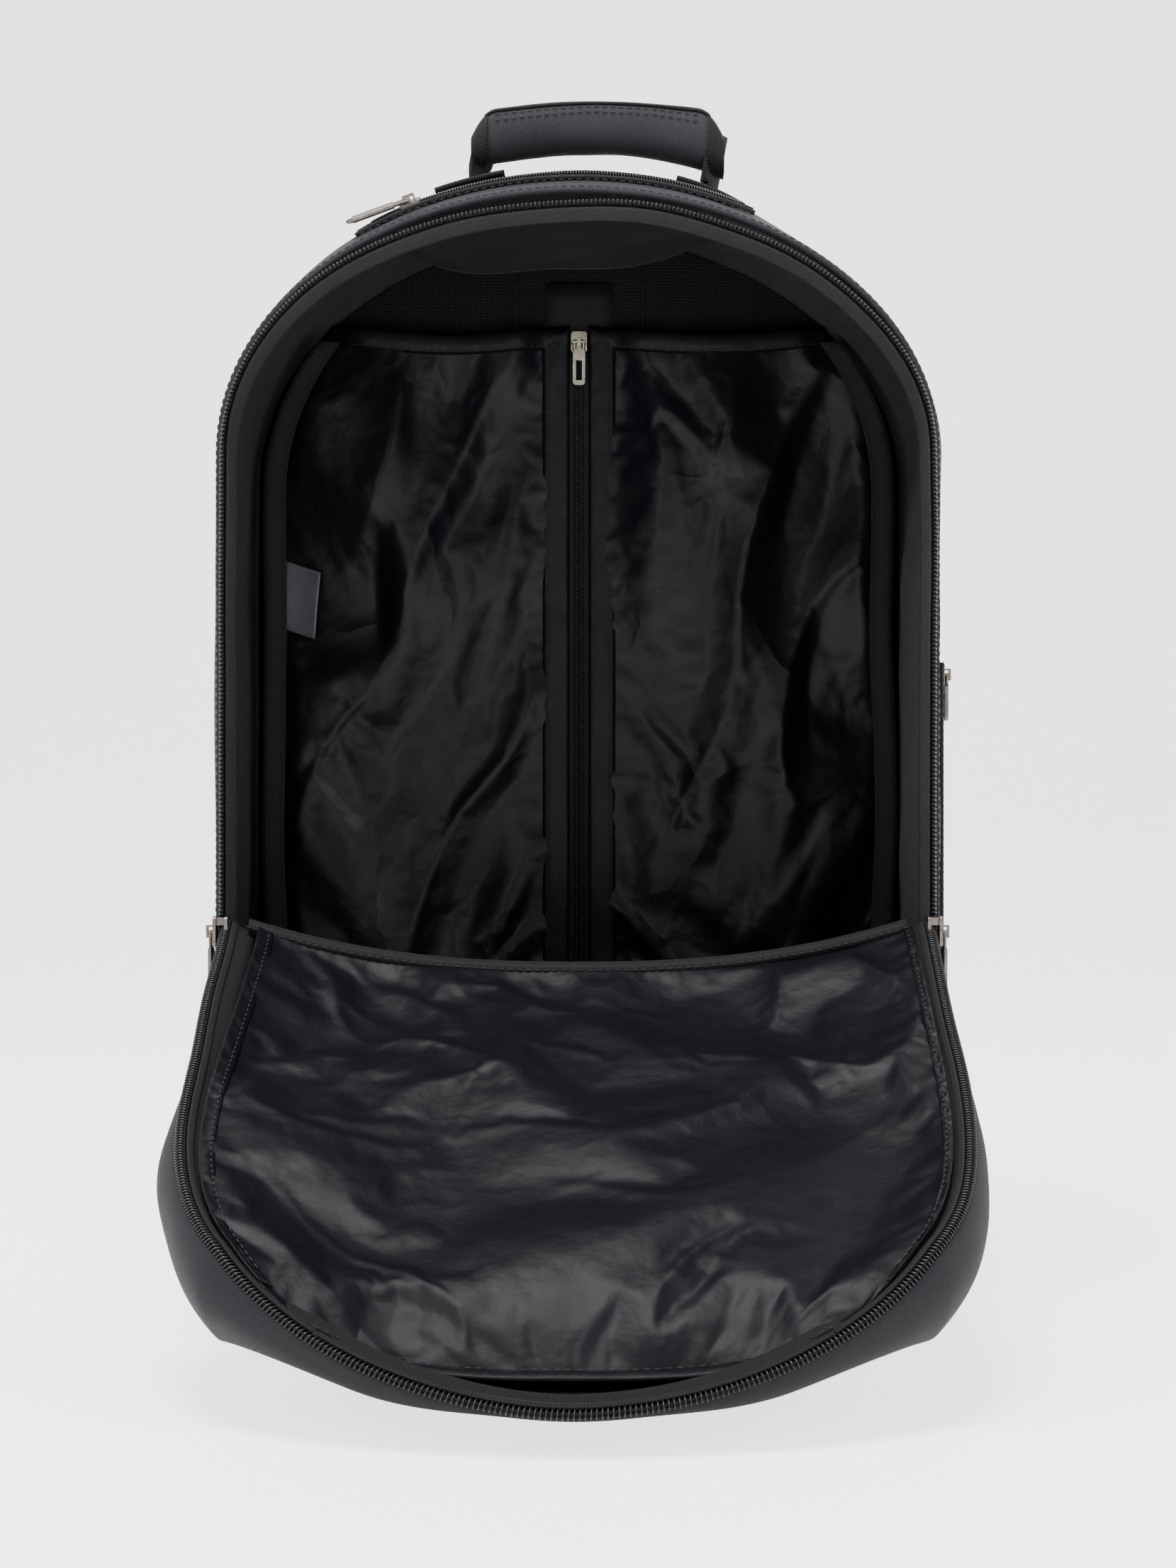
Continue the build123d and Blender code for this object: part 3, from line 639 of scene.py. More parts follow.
webbing_cloth = Finish("webbing", Roughness=0.7, Sheen_Weight=0.02, Specular_IOR_Level=0.12)
along, across, _ = webbing_cloth.axes(webbing_cloth.coordinates("UV"))
rib = (along * (2 * math.pi / 0.0012)).sin() * 0.5 + 0.5
ridge = (across * (2 * math.pi / 0.0021)).sin() * 0.5 + 0.5
fleck = webbing_cloth.noise(webbing_cloth.coordinates(), 900.0)
webbing_cloth.surface(
    webbing_cloth.blend(
        rib * 0.5 + ridge * 0.2 + fleck * 0.3, (0.0030, 0.0030, 0.0030), (0.0170, 0.0170, 0.0175)
    ),
    0.6 + fleck * 0.2, rib * 0.6 + ridge * 0.4, 0.0004, 0.8,
)


mouth_line = traced(mouth_point, 400)
body_teeth = coil_row("body_coil", mouth_line, mouth_up)
dress(body_teeth, "bag", coil_black.material, "zip_teeth", "body_zip_coil")
filler = cord_mesh("body_coil_filler", mouth_line[::3], 0.0009, 1)
dress(filler, "bag", tape_black.material, "zip_tape")
panel(
    "body_zip_tape_web", 260, 3,
    lambda u, v: mouth_point(
        u, v * 0.0006, mixed(zip_y + 0.0006, canvas_front + 0.004, v)
    ), 0.88, 0.013, 0.0008,
    "bag", tape_black.material, "zip_tape", "body_zip_tape",
)
panel(
    "gusset_edge_fold", 260, 4,
    lambda u, v: mouth_point(
        u, 0.0016 + 0.0012 * math.sin(v * math.pi), mixed(canvas_front - 0.0012, canvas_front + 0.008, v)
    ), 0.88, 0.009, 0.0012,
    "bag", outer_canvas, "outer_canvas",
)
panel(
    "mouth_facing", 240, 4,
    lambda u, v: mouth_point(
        u, -0.0014 - 0.002 * v, mixed(zip_y + 0.004, canvas_front + 0.016, v)
    ), 0.88, 0.016, 0.0009,
    "bag", inner_canvas, "outer_canvas",
)


# ---------------------------------------------------------------- folded front flap
# The flap hangs from the fold and lies on the floor, its far end curled down. Its half of the
# coil zip runs round its edge, teeth up, on a woven tape that dips under the lining.
flap_reach = 0.302
flap_half = 0.162
edge_height = 0.176
fold_slope = math.tan(math.radians(24.4))
lining_reach = 0.270


def flap_width(reach):
    """Half the width of the flap at a distance in front of the fold."""
    share = min(1.0, max(0.0, reach / flap_reach))
    return flap_half * (1 - share ** 6) ** (1 / 1.8)


def edge_drop(reach):
    """Height of the flap's edge at a distance in front of the fold."""
    curl = max(0.0, (reach - 0.24) / 0.062)
    return edge_height - fold_slope * reach - 0.023 * curl ** 1.35


def flap_dip(reach):
    """How far the middle of the flap hangs below its edges."""
    return mixed(0.020, 0.012, ease(0.0, 0.14, reach)) + 0.009 * ease(0.16, 0.29, reach)


def flap_outline(step=0.002):
    """Even run of points round the flap's edge, from the left end of the fold to the right."""
    left, right = [], []
    for index in range(1201):
        angle = index / 1200 * math.pi / 2
        width = flap_half * math.cos(angle) ** (2 / 1.8)
        reach = flap_reach * math.sin(angle) ** (1 / 3)
        left.append(Vector((-width, front_y - reach, edge_drop(reach))))
        right.append(Vector((width, front_y - reach, edge_drop(reach))))
    return [place for place, way in spaced(left + right[-2::-1], step)]


def flap_up(place):
    reach = front_y - place.y
    slope = (edge_drop(reach - 0.004) - edge_drop(reach + 0.004)) / 0.008
    return Vector((0, -slope, 1)).normalized()


flap_line = []
for place in flap_outline():
    shift = 0.0018 * ripple(place.x * 14, place.y * 14, 0.3, 5)
    flap_line.append(place + Vector((shift if place.x > 0 else -shift, 0, shift * 0.6)))


def inset_line(line, distance, drop=0.0):
    """The same line moved towards the middle of the flap."""
    out = []
    for index, place in enumerate(line):
        way = (line[min(len(line) - 1, index + 3)] - line[max(0, index - 3)]).normalized()
        inward = way.cross(flap_up(place)).normalized()
        if inward.dot(Vector((0, front_y - 0.12, place.z)) - place) < 0:
            inward = -inward
        out.append(place + inward * distance - flap_up(place) * drop)
    return out


def ribbon(name, first, second, rows=3, bulge=0.0, width=0.01):
    """Strip of cloth between two lines with the same number of points."""
    last = len(first) - 1

    def place(u, v):
        index = min(last, max(0, round(u * last)))
        lift = bulge * math.sin(math.pi * v)
        return first[index].lerp(second[index], v) + flap_up(first[index]) * lift

    return cloth(name, last, rows, place, 0.85, width)


flap_teeth = coil_row("flap_coil", flap_line, flap_up)
dress(flap_teeth, "flap", coil_black.material, "zip_teeth", "flap_zip_coil")
flap_filler = cord_mesh("flap_coil_filler", flap_line[::2], 0.0008, 1)
dress(flap_filler, "flap", tape_black.material, "zip_tape")
flap_tape = ribbon(
    "flap_zip_tape_web", inset_line(flap_line, 0.0004, 0.0011), inset_line(flap_line, 0.0125, 0.0062), 5,
    0.0006, 0.012
)
thicken(flap_tape, 0.0008)
dress(flap_tape, "flap", tape_black.material, "zip_tape", "flap_zip_tape")
welt = ribbon(
    "flap_edge_welt", inset_line(flap_line, 0.0024, -0.0002), inset_line(flap_line, 0.0052, 0.0016), 3,
    0.0004, 0.003
)
thicken(welt, 0.0007)
dress(welt, "flap", webbing_cloth.material, "webbing")


# ---------------------------------------------------------------- flap lining
# Thin shiny nylon, cut a little larger than the flap, so that it lies in soft wrinkles. It is
# sewn to the zip tape at the sides and ends in a straight hem short of the curled end.
def nylon_finish(name, shine, rough, crush):
    """Thin black nylon with a fine weave, crushed into flat facets with soft creases between."""
    nylon = Finish(name, Roughness=0.4, Specular_IOR_Level=shine)
    weft, warp, _ = nylon.axes(nylon.coordinates("UV"))
    weave = (weft * 9000.0).sin() * (warp * 9000.0).sin() * 0.5 + 0.5
    cloud = nylon.noise(nylon.coordinates(), 9.0, 4.0, 0.6)
    facet = nylon.noise(nylon.coordinates(), 11.0, 3.0, 0.45) * 2.0 - 1.0
    fold = 1.0 - (facet * facet) ** 0.5
    crease = nylon.noise(nylon.coordinates(), 45.0, 4.0, 0.5)
    nylon.surface(
        nylon.blend(cloud * 0.7 + weave * 0.3, (0.0016, 0.0017, 0.0026), (0.0042, 0.0045, 0.0064)),
        rough + crease * 0.14 + weave * 0.04, fold * crush + crease * 0.22 + weave * 0.003, 0.0100, 0.6,
    )
    return nylon


lining_nylon = nylon_finish("lining_nylon", 0.13, 0.37, 0.28)
curtain_nylon = nylon_finish("curtain_nylon", 0.15, 0.28, 0.85)


relax_frames = 14


def relax(piece, pinned, growth, pull=0.0, board=None):
    """Lets a sheet that is cut too large settle into wrinkles, then keeps that shape."""
    group = piece.vertex_groups.new(name="sewn")
    group.add(pinned, 1.0, "REPLACE")
    if board is not None:
        board.modifiers.new("touch", "COLLISION")
        board.collision.thickness_outer = 0.001
        board.collision.cloth_friction = 8.0
    soft = piece.modifiers.new("settle", "CLOTH")
    rule = soft.settings
    rule.quality = 6
    rule.mass = 0.12
    rule.air_damping = 2.0
    rule.tension_stiffness = 18.0
    rule.compression_stiffness = 18.0
    rule.shear_stiffness = 6.0
    rule.bending_stiffness = 0.5
    rule.tension_damping = 8.0
    rule.compression_damping = 8.0
    rule.vertex_group_mass = "sewn"
    rule.shrink_min = -growth
    rule.shrink_max = -growth
    rule.effector_weights.gravity = pull
    soft.collision_settings.use_collision = board is not None
    soft.collision_settings.distance_min = 0.0008
    soft.collision_settings.collision_quality = 3
    soft.point_cache.frame_start = 1
    soft.point_cache.frame_end = relax_frames
    for step in range(1, relax_frames + 1):
        bpy.context.scene.frame_set(step)
    settle(piece)
    bpy.context.scene.frame_set(1)


def soften(piece):
    """Rounds a settled sheet off with one level of subdivision."""
    smooth = piece.modifiers.new("smooth", "SUBSURF")
    smooth.levels = smooth.render_levels = 1
    settle(piece)


def sewn_edges(piece, columns, rows):
    """Points of a grid of cloth on its four edges."""
    pins = []
    for index in range(len(piece.data.vertices)):
        row, column = divmod(index, columns + 1)
        if row in (0, rows) or column in (0, columns):
            pins.append(index)
    return pins


def lining_point(u, v):
    """Lining cloth inside the zip tape, from the fold to its straight hem."""
    reach = mixed(0.002, lining_reach, v)
    left = mixed(0.0150, 0.0070, ease(0.0, 0.20, reach))
    right = 0.0075
    width = flap_width(reach)
    x = mixed(left - width, width - right, u)
    across = 2 * u - 1
    hollow = flap_dip(reach) * (1 - abs(across) ** 3.4)
    calm = (1 - abs(across) ** 8) * (1 - abs(2 * v - 1) ** 14)
    drift = 0.6 * ripple(x * 8, reach * 8, 0.5, 2)
    wave = 0.0085 * ripple(x * 10 + drift, reach * 9 - x * 4, 0.5, 9)
    ridge = 0.0075 * (0.22 - abs(ripple(x * 13 - reach * 9 + drift, reach * 13 + x * 6, 0.5, 3)))
    pucker = (
        0.0040 * (0.20 - abs(ripple(x * 27 + drift * 2, reach * 21, 0.5, 5)))
        * (0.4 + ease(0.18, 0.0, reach))
    )
    return Vector((x, front_y - reach, edge_drop(reach) - 0.0008 - hollow + (wave + ridge + pucker) * calm))


lining_columns = 120
lining_rows = 104
lining = cloth("flap_lining_cloth", lining_columns, lining_rows, lining_point, 0.31, 0.30)
relax(lining, sewn_edges(lining, lining_columns, lining_rows), 0.012)
thicken(lining, 0.0006)
soften(lining)
dress(lining, "flap", lining_nylon.material, "lining_nylon", "flap_lining", "flap_panel")

panel(
    "lining_end_hem", 80, 6,
    lambda u, v: lining_point(mixed(0.03, 0.97, u), 1.0) + Vector((
        0, -0.001 - 0.006 * v, 0.0010 * math.sin(v * math.pi) - 0.0012 * v
    )),
    0.17, 0.01, 0.0016,
    "flap", lining_nylon.material, "lining_nylon",
)
hem_line = [lining_point(step / 80, 1.0) + Vector((0, -0.0035, 0.0022)) for step in range(3, 78)]
stitches("lining_hem_stitches", hem_line, (0, 0, 1), "flap")
for name, edge in (("left", 0.0), ("right", 1.0)):
    wide = 0.0068 if edge == 0.0 else 0.0042
    panel(
        "lining_edge_" + name, 150, 6,
        lambda u, v, edge=edge, wide=wide: lining_point(abs(edge - wide * v / 0.30), mixed(0.01, 0.95, u))
        + Vector((0, 0, 0.0010 + 0.0014 * ripple(u * 60, v * 1.2, edge, 3) * math.sin(math.pi * v))),
        0.27, 0.007, 0.0007,
        "flap", lining_nylon.material, "lining_nylon",
    )
    inner = abs(edge - (wide - 0.0016) / 0.30)
    seam = [lining_point(inner, step / 120) + Vector((0, 0, 0.0022)) for step in range(3, 112)]
    stitches("lining_edge_stitches_" + name, seam, (0, 0, 1), "flap")


# ---------------------------------------------------------------- flap canvas and front pocket
# Below the zip the outer canvas turns down and under. It carries the slack front pocket, whose
# belly rests on the floor.
floor_gap = 0.0006
pocket_fall = 0.0715
belly_turn = 0.36           # share of the canvas above the line where it turns under
pocket_reach = 0.192
skirt = [place + Vector((0, 0, -0.0016)) for place in flap_outline(0.0034)]


def underside(x, reach):
    """Height of the pocket's belly, which is lowest under the middle of the flap."""
    hang = edge_drop(reach) - pocket_fall * ease(-0.06, 0.10, reach)
    clear = (reach - 0.224) * 0.205
    return max(floor_gap, hang, clear) + 0.024 * ease(0.03, 0.135, abs(x)) * ease(0.02, 0.12, reach)


def skirt_point(u, v):
    """Outer canvas: u runs round the flap's edge, v from the zip down and under."""
    index = min(len(skirt) - 1, round(u * (len(skirt) - 1)))
    rim = skirt[index]
    reach = front_y - rim.y
    way = (skirt[min(len(skirt) - 1, index + 2)] - skirt[max(0, index - 2)]).normalized()
    outward = Vector((way.y, -way.x, 0)).normalized()
    if outward.dot(Vector((rim.x, rim.y - front_y + 0.12, 0))) < 0:
        outward = -outward
    hang = max(0.0005, rim.z - underside(rim.x, reach * 0.93))
    fall = 0.8 * hang * mixed(0.2, 1.0, ease(0.02, 0.08, abs(rim.x)))
    bulge = 0.0065 * min(1.0, fall / 0.03) * ease(0.09, 0.17, reach)
    crumple = ripple(rim.x * 20, rim.y * 20, v * 2.2, 12)
    if v < belly_turn:
        share = v / belly_turn
        out = bulge * math.sin(math.pi * share ** 0.8) ** 0.8
        crease = 0.0030 * crumple * math.sin(math.pi * share) * min(1.0, fall / 0.02)
        return rim + outward * (out + crease) + Vector((0, 0, -fall * share))
    share = ((v - belly_turn) / (1 - belly_turn)) ** 1.35
    inner = Vector((rim.x * 0.15, front_y - min(reach, 0.19), 0))
    flat = Vector((rim.x, rim.y, 0)).lerp(inner, share)
    low = min(rim.z - fall, underside(flat.x, front_y - flat.y))
    z = mixed(rim.z - fall, low, ease(-0.12, 0.42, share))
    ruffle = 0.002 * crumple * math.sin(math.pi * share)
    return Vector((flat.x, flat.y, max(floor_gap, z + ruffle)))


# The pocket's canvas is the outer canvas with painted shade, darker where it turns under the flap.
panel(
    "front_pocket_canvas", len(skirt) - 1, 64, skirt_point, 0.82, 0.24, 0.0016,
    "flap", pocket_canvas_painted_shade, "outer_canvas", "front_pocket",
)
panel(
    "front_pocket_middle", 16, 40,
    lambda u, v: Vector((
        mixed(-0.025, 0.025, u), front_y - pocket_reach * v, underside(0.0, pocket_reach * v) + 0.0004,
    )), 0.05, 0.19, 0.0014,
    "flap", outer_canvas, "outer_canvas",
)


def facing_point(u, v):
    """Canvas facing between the lining's hem and the zip at the curled end."""
    x = (2 * u - 1) * 0.080
    end = flap_reach * (1 - (abs(x) / flap_half) ** 1.8) ** (1 / 6) - 0.0055
    inside = mixed(0.0130, edge_drop(0.215) - 0.036, abs(2 * u - 1) ** 4)
    reach = mixed(0.215, end, v)
    return Vector((x, front_y - reach, mixed(inside, edge_drop(end) - 0.0032, v ** 2)))


panel("flap_end_facing", 90, 14, facing_point, 0.2, 0.035, 0.0012, "flap", outer_canvas, "outer_canvas")


# ---------------------------------------------------------------- fold of the flap
# A folded strip of webbing is sewn over the seam where the flap's lining meets the lower front,
# and sags in the middle with it.
def fold_point(u, v):
    """Binding along the fold: low in the middle and higher at both ends."""
    x = mixed(-fold_half, fold_half, u)
    sag = 0.020 * (1 - abs(x / fold_half) ** 2.4)
    z = edge_height - sag - 0.002 + 0.0065 * (v - 0.5)
    return Vector((x, front_y - 0.004 * math.sin(v * math.pi) + 0.001, z))


panel(
    "fold_binding_strip", 120, 6, fold_point, 0.31, 0.0065, 0.0012,
    "bag", webbing_cloth.material, "webbing", "fold_binding",
)
fold_row = traced(lambda share: fold_point(share, 0.5) + Vector((0, -0.0008, 0)), 80)
stitches("fold_stitches", fold_row, (0, -1, 0), "bag")


# ---------------------------------------------------------------- inside of the back
# Padded back: a flat stay in a smooth sleeve down the middle, foam panels beside it and mesh
# wings outside them. It shows above the curtain.
curtain_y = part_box("lining_curtain_left")[0][1]
hem_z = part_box("lining_curtain_left")[1][2]
inside_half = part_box("lining_curtain_right")[1][0]

mesh_cloth = Finish("spacer_mesh", Roughness=0.8, Sheen_Weight=0.03, Specular_IOR_Level=0.1)
side_way, _, rise_way = mesh_cloth.axes(mesh_cloth.coordinates())
cells = 2 * math.pi / 0.0034
hole = ((side_way * cells).sin() * (rise_way * cells).sin()).size()
mesh_cloth.surface(
    mesh_cloth.blend(hole, (0.0100, 0.0100, 0.0105), (0.0025, 0.0025, 0.0025)), 0.75 + hole * 0.15,
    1 - hole, 0.0008, 0.8
)
plain_cloth = Finish("pouch_cloth", Roughness=0.6, Sheen_Weight=0.03, Specular_IOR_Level=0.15)
speck = plain_cloth.noise(plain_cloth.coordinates(), 700.0)
plain_cloth.surface(
    plain_cloth.blend(speck, (0.0030, 0.0030, 0.0035), (0.0085, 0.0085, 0.0095)), 0.55 + speck * 0.15,
    speck, 0.0002, 0.5
)


def inside_limit(z, y, inset=0.0036):
    """Half the width of the inside at a height and depth."""
    half = half_at(y) - inset
    if z <= arch_z:
        return half
    rise = (z - arch_z) / (top_at(y) - inset - arch_z)
    return half * math.sqrt(max(0.0, 1 - rise * rise))


foam_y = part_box("frame_sheet")[0][1] - 0.0010
stay_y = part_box("stay_sleeve")[0][1]


def back_lining_point(u, v):
    """Lining of the back, with a foam ridge on each side of the stay's channel."""
    z = mixed(0.006, back_top - 0.006, math.sin(v * math.pi / 2))
    x = (2 * u - 1) * max(0.004, inside_limit(z, foam_y))
    ridge = 0.0030 * ease(0.020, 0.034, abs(x)) * (1 - ease(0.055, 0.066, abs(x)))
    groove = 0.0022 * math.exp(-((abs(x) - 0.034) / 0.0016) ** 2)
    return Vector((x, foam_y - ridge + groove, z))


panel(
    "back_lining", 160, 60, back_lining_point, 0.33, 0.52, 0.0010,
    "bag", mesh_cloth.material, "padded_mesh", "back_foam",
)
sleeve_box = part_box("stay_sleeve")
panel(
    "stay_sleeve_cloth", 24, 60,
    lambda u, v: Vector((
        mixed(sleeve_box[0][0], sleeve_box[1][0], u),
        mixed(stay_y + 0.004, stay_y, min(1.0, 6 * min(u, 1 - u)) ** 0.5),
        mixed(sleeve_box[0][2], sleeve_box[1][2], v),
    )), 0.038, 0.48, 0.0008,
    "bag", plain_cloth.material, "pouch_cloth", "stay_sleeve",
)
for name, side in (("left", -1), ("right", 1)):
    line = [Vector((side * 0.034, foam_y - 0.003, 0.05 + 0.0046 * step)) for step in range(100)]
    groove_cord = cord_mesh("stay_channel_binding_" + name, line, 0.0012, 1)
    dress(groove_cord, "bag", webbing_cloth.material, "webbing")


# ---------------------------------------------------------------- lining curtain
# The shiny curtain hides the back. It is sewn in at its sides and bottom, has a stitched hem on
# top and a zip down the middle, and bunches in folds above the bottom.
curtain_columns = 60
curtain_rows = 150
curtain_low = 0.010
curtain_slit = 0.0052
label_place = middle("care_label")[2]


def curtain_point(side, u, v):
    """u runs from the side seam to the zip, v from the bottom to the hem."""
    z = mixed(curtain_low, hem_z, v)
    reach = min(inside_half - 0.001, inside_limit(z, curtain_y))
    x = mixed(reach, curtain_slit, u)
    full = ease(0.0, 0.14, u) * (1 - ease(0.78, 0.91, u))
    if side < 0:
        full = full * (1 - math.exp(-((z - label_place) / 0.035) ** 2) * ease(0.088, 0.108, x))
    still = 1 - 0.75 * ease(0.90, 1.0, v)
    drift = 0.8 * ripple(x * 6, side, z * 5, 8)
    folds = 0.0170 * ripple(x * 15 * side + z * 2.5 + drift, 0.5 * side, z * 3.4 - x * 4, 2) * full * still
    ridge = 0.0120 * (0.20 - abs(ripple(x * 21 * side - z * 6 + drift, 0.7, z * 6.5, 4))) * full * still
    low = 1 - ease(0.02, 0.22, z - curtain_low)
    bunch = 0.0150 * abs(ripple(x * 17 * side, 0.9, z * 24 + x * 13, 6)) * full * low
    drop = 0.005 * math.sin(math.pi * u) * ease(0.9, 1.0, v)
    forward = 0.001 + max(0.0, 0.007 * full + folds + ridge) + bunch
    return Vector((side * x, curtain_y - forward, z - drop))


for name, side in (("left", -1), ("right", 1)):
    half = cloth(
        "curtain_" + name, curtain_columns, curtain_rows,
        lambda u, v, side=side: curtain_point(side, u, v), 0.165, 0.475,
    )
    pins = sewn_edges(half, curtain_columns, curtain_rows)
    wall_board = cloth(
        "wall_board", 4, 4,
        lambda u, v: Vector((mixed(-0.2, 0.2, u), curtain_y + 0.0015, mixed(-0.02, 0.52, v))),
    )
    relax(half, pins, 0.010, 0.02, wall_board)
    bpy.data.objects.remove(wall_board)
    thicken(half, 0.0005)
    soften(half)
    dress(half, "bag", curtain_nylon.material, "lining_nylon", "lining_curtain_" + name)

    top_line = traced(lambda share, side=side: curtain_point(side, share, 1.0), 60)
    panel(
        "curtain_hem_" + name, 60, 5,
        lambda u, v, line=top_line: line[round(u * 60)]
        + Vector((0, -0.0012 - 0.0012 * math.sin(v * math.pi), 0.0008 - 0.011 * v)), 0.165, 0.011, 0.0010,
        "bag", lining_nylon.material, "lining_nylon",
    )
    stitches(
        "curtain_hem_stitches_" + name, [p + Vector((0, -0.0032, -0.0085)) for p in top_line[1:-1]],
        (0, -1, 0), "bag",
    )
    seam = traced(
        lambda share, side=side: Vector((
            side * 0.0165, curtain_y - 0.0044, mixed(0.15, hem_z - 0.004, share)
        )), 60
    )
    stitches("curtain_zip_stitches_" + name, seam, (0, -1, 0), "bag")
    panel(
        "curtain_zip_hem_" + name, 8, 80,
        lambda u, v, side=side: Vector((
            side * mixed(curtain_slit, 0.0190, u),
            curtain_y - 0.0026 - 0.0011 * math.sin(u * math.pi)
            - 0.0008 * ripple(u * 2, side * 3, v * 14, 8) * (1 - abs(2 * u - 1)),
            mixed(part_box("curtain_zip")[0][2], hem_z - 0.001, v),
        )), 0.014, 0.34, 0.0007,
        "bag", lining_nylon.material, "lining_nylon",
    )


# ---------------------------------------------------------------- curtain zip
# A lighter coil zip, closed: two rows of nylon loops meet down the middle of a pair of woven
# tapes that are sewn behind the hems of the curtain. The small pocket zips are made like it.
small_pitch = 0.00135


def closed_zip(name, line, up, body, cad_nodes, tape_half=0.0105, reach=0.0016, height=0.00115):
    """Closed coil zip along a line: two leaning rows of loops on a tape."""
    for side, word in ((-1, "left"), (1, "right")):
        matrices = []
        for place, way in spaced(line, small_pitch):
            normal = up(place)
            across = normal.cross(way).normalized()
            shift = way * (small_pitch / 2 if side > 0 else 0.0)
            matrices.append(facing(place + across * side * reach * 0.72 + shift, way, normal))
        row = repeat(f"{name}_coil_{word}", tooth_template(reach, height, 0.00036, 0.9 * side), matrices)
        dress(row, body, coil_black.material, "zip_teeth")
    length = sum((b - a).length for a, b in zip(line, line[1:]))
    even = [place for place, way in spaced(line, length / (len(line) - 1))]
    last = len(even) - 1

    def place(u, v):
        index = round(u * last)
        way = even[min(last, index + 1)] - even[max(0, index - 1)]
        normal = up(even[index])
        across = normal.cross(way).normalized()
        return even[index] + across * (2 * v - 1) * tape_half - normal * 0.0009

    panel(
        name + "_tape", last, 6, place, 0.3, 2 * tape_half, 0.0007,
        body, tape_black.material, "zip_tape", *cad_nodes,
    )


zip_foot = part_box("curtain_zip")[0][2] + 0.003
zip_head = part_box("curtain_zip")[1][2] - 0.004
zip_line = traced(lambda share: Vector((0, curtain_y - 0.0028, mixed(zip_foot, zip_head, share))), 60)
closed_zip("curtain_zip", zip_line, lambda place: Vector((0, -1, 0)), "bag", ["curtain_zip"], 0.0075)


# ---------------------------------------------------------------- side seams and the care label
# Seams bound in webbing run down both back corners. A blank woven satin label is caught in the
# left one.
for name, side in (("left", -1), ("right", 1)):
    line = []
    for z in traced(lambda share: mixed(0.03, 0.47, share), 70):
        x = side * (inside_limit(z, 0.055, 0.006) - 0.006 + 0.003 * ripple(0.3, side, z * 12, 3))
        line.append(Vector((x, 0.060 + 0.004 * ripple(1, side, z * 9), z)))
    panel(
        "side_seam_binding_" + name, 70, 4,
        lambda u, v, line=line, side=side: line[round(u * 70)]
        + Vector((-side * 0.011 * v, 0.004 * v - 0.0015 * math.sin(math.pi * v), 0)), 0.44, 0.012, 0.0014,
        "bag", webbing_cloth.material, "webbing", "seam_binding_" + name,
    )

satin = Finish("label_satin", Roughness=0.4, Sheen_Weight=0.3)
_, _, fall_way = satin.axes(satin.coordinates())
grain = (fall_way * 14000.0).sin() * 0.5 + 0.5
shade = satin.noise(satin.coordinates(), 90.0)
satin.surface(
    satin.blend(grain * 0.4 + shade * 0.6, (0.022, 0.023, 0.027), (0.075, 0.078, 0.088)),
    0.4 + shade * 0.15, grain, 0.0001, 0.3
)
label_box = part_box("care_label")


def label_point(u, v):
    x = mixed(label_box[0][0] + 0.001, label_box[1][0], u) - 0.003 * (1 - v)
    curl = 0.003 * u * u + 0.002 * math.sin(v * 3.0)
    return Vector((x, curtain_y - 0.0075 - curl, mixed(label_box[0][2], label_box[1][2], v) - 0.006 * u))


panel(
    "care_label_satin", 16, 20, label_point, 0.019, 0.035, 0.0004,
    "bag", satin.material, "label", "care_label",
)


# ---------------------------------------------------------------- top pocket zip
# A short closed coil zip curves over the top, in front of the handle, between two canvas lips.
# Below it hangs a shallow pouch of plain cloth.
def on_top(x, y, lift=0.0):
    """Point on the top of the bag over x and y."""
    angle = math.acos(max(-1.0, min(1.0, -x / half_at(y))))
    return strip_point(side_share + (1 - 2 * side_share) * angle / math.pi, y, lift)


def top_normal(place):
    step = 0.002
    here = on_top(place.x, place.y)
    right = on_top(place.x + step, place.y) - here
    behind = on_top(place.x, place.y + step) - here
    return right.cross(behind).normalized()


coil_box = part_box("top_zip_coil")
top_zip_y = middle("top_slider")[1] + 0.002
top_line = traced(lambda share: on_top(mixed(coil_box[0][0], coil_box[1][0], share), top_zip_y, 0.0022), 70)
closed_zip("top_zip", top_line, top_normal, "bag", ["top_zip_tape", "top_zip_coil"], 0.0050, 0.0021, 0.0015)
for name, shift in (("front", -0.0056), ("back", 0.0056)):
    edge_line = traced(
        lambda share, shift=shift: on_top(
            mixed(coil_box[0][0] - 0.008, coil_box[1][0] + 0.008, share), top_zip_y + shift, 0.0016
        ), 70
    )
    lip = cord_mesh("top_zip_lip_" + name, edge_line, 0.0012, 2)
    dress(lip, "bag", outer_canvas, "outer_canvas")
    row = [on_top(p.x, top_zip_y + shift * 1.35, 0.0009) for p in edge_line]
    stitches("top_zip_stitches_" + name, row, top_normal, "bag")

pouch_low, pouch_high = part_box("top_pocket_pouch")


def pouch_point(u, v):
    """Bottom of the shallow pouch that hangs under the top zip."""
    sag = 0.034 * (1 - abs(2 * u - 1) ** 3) * math.sin(math.pi / 2 * v) ** 0.7
    place = on_top(mixed(pouch_low[0], pouch_high[0], u), mixed(pouch_low[1], pouch_high[1], v), -0.0045)
    return place - Vector((0, 0, sag))


panel(
    "top_pocket_pouch_cloth", 80, 40, pouch_point, 0.17, 0.094, 0.0008,
    "bag", plain_cloth.material, "pouch_cloth", "top_pocket_pouch",
)


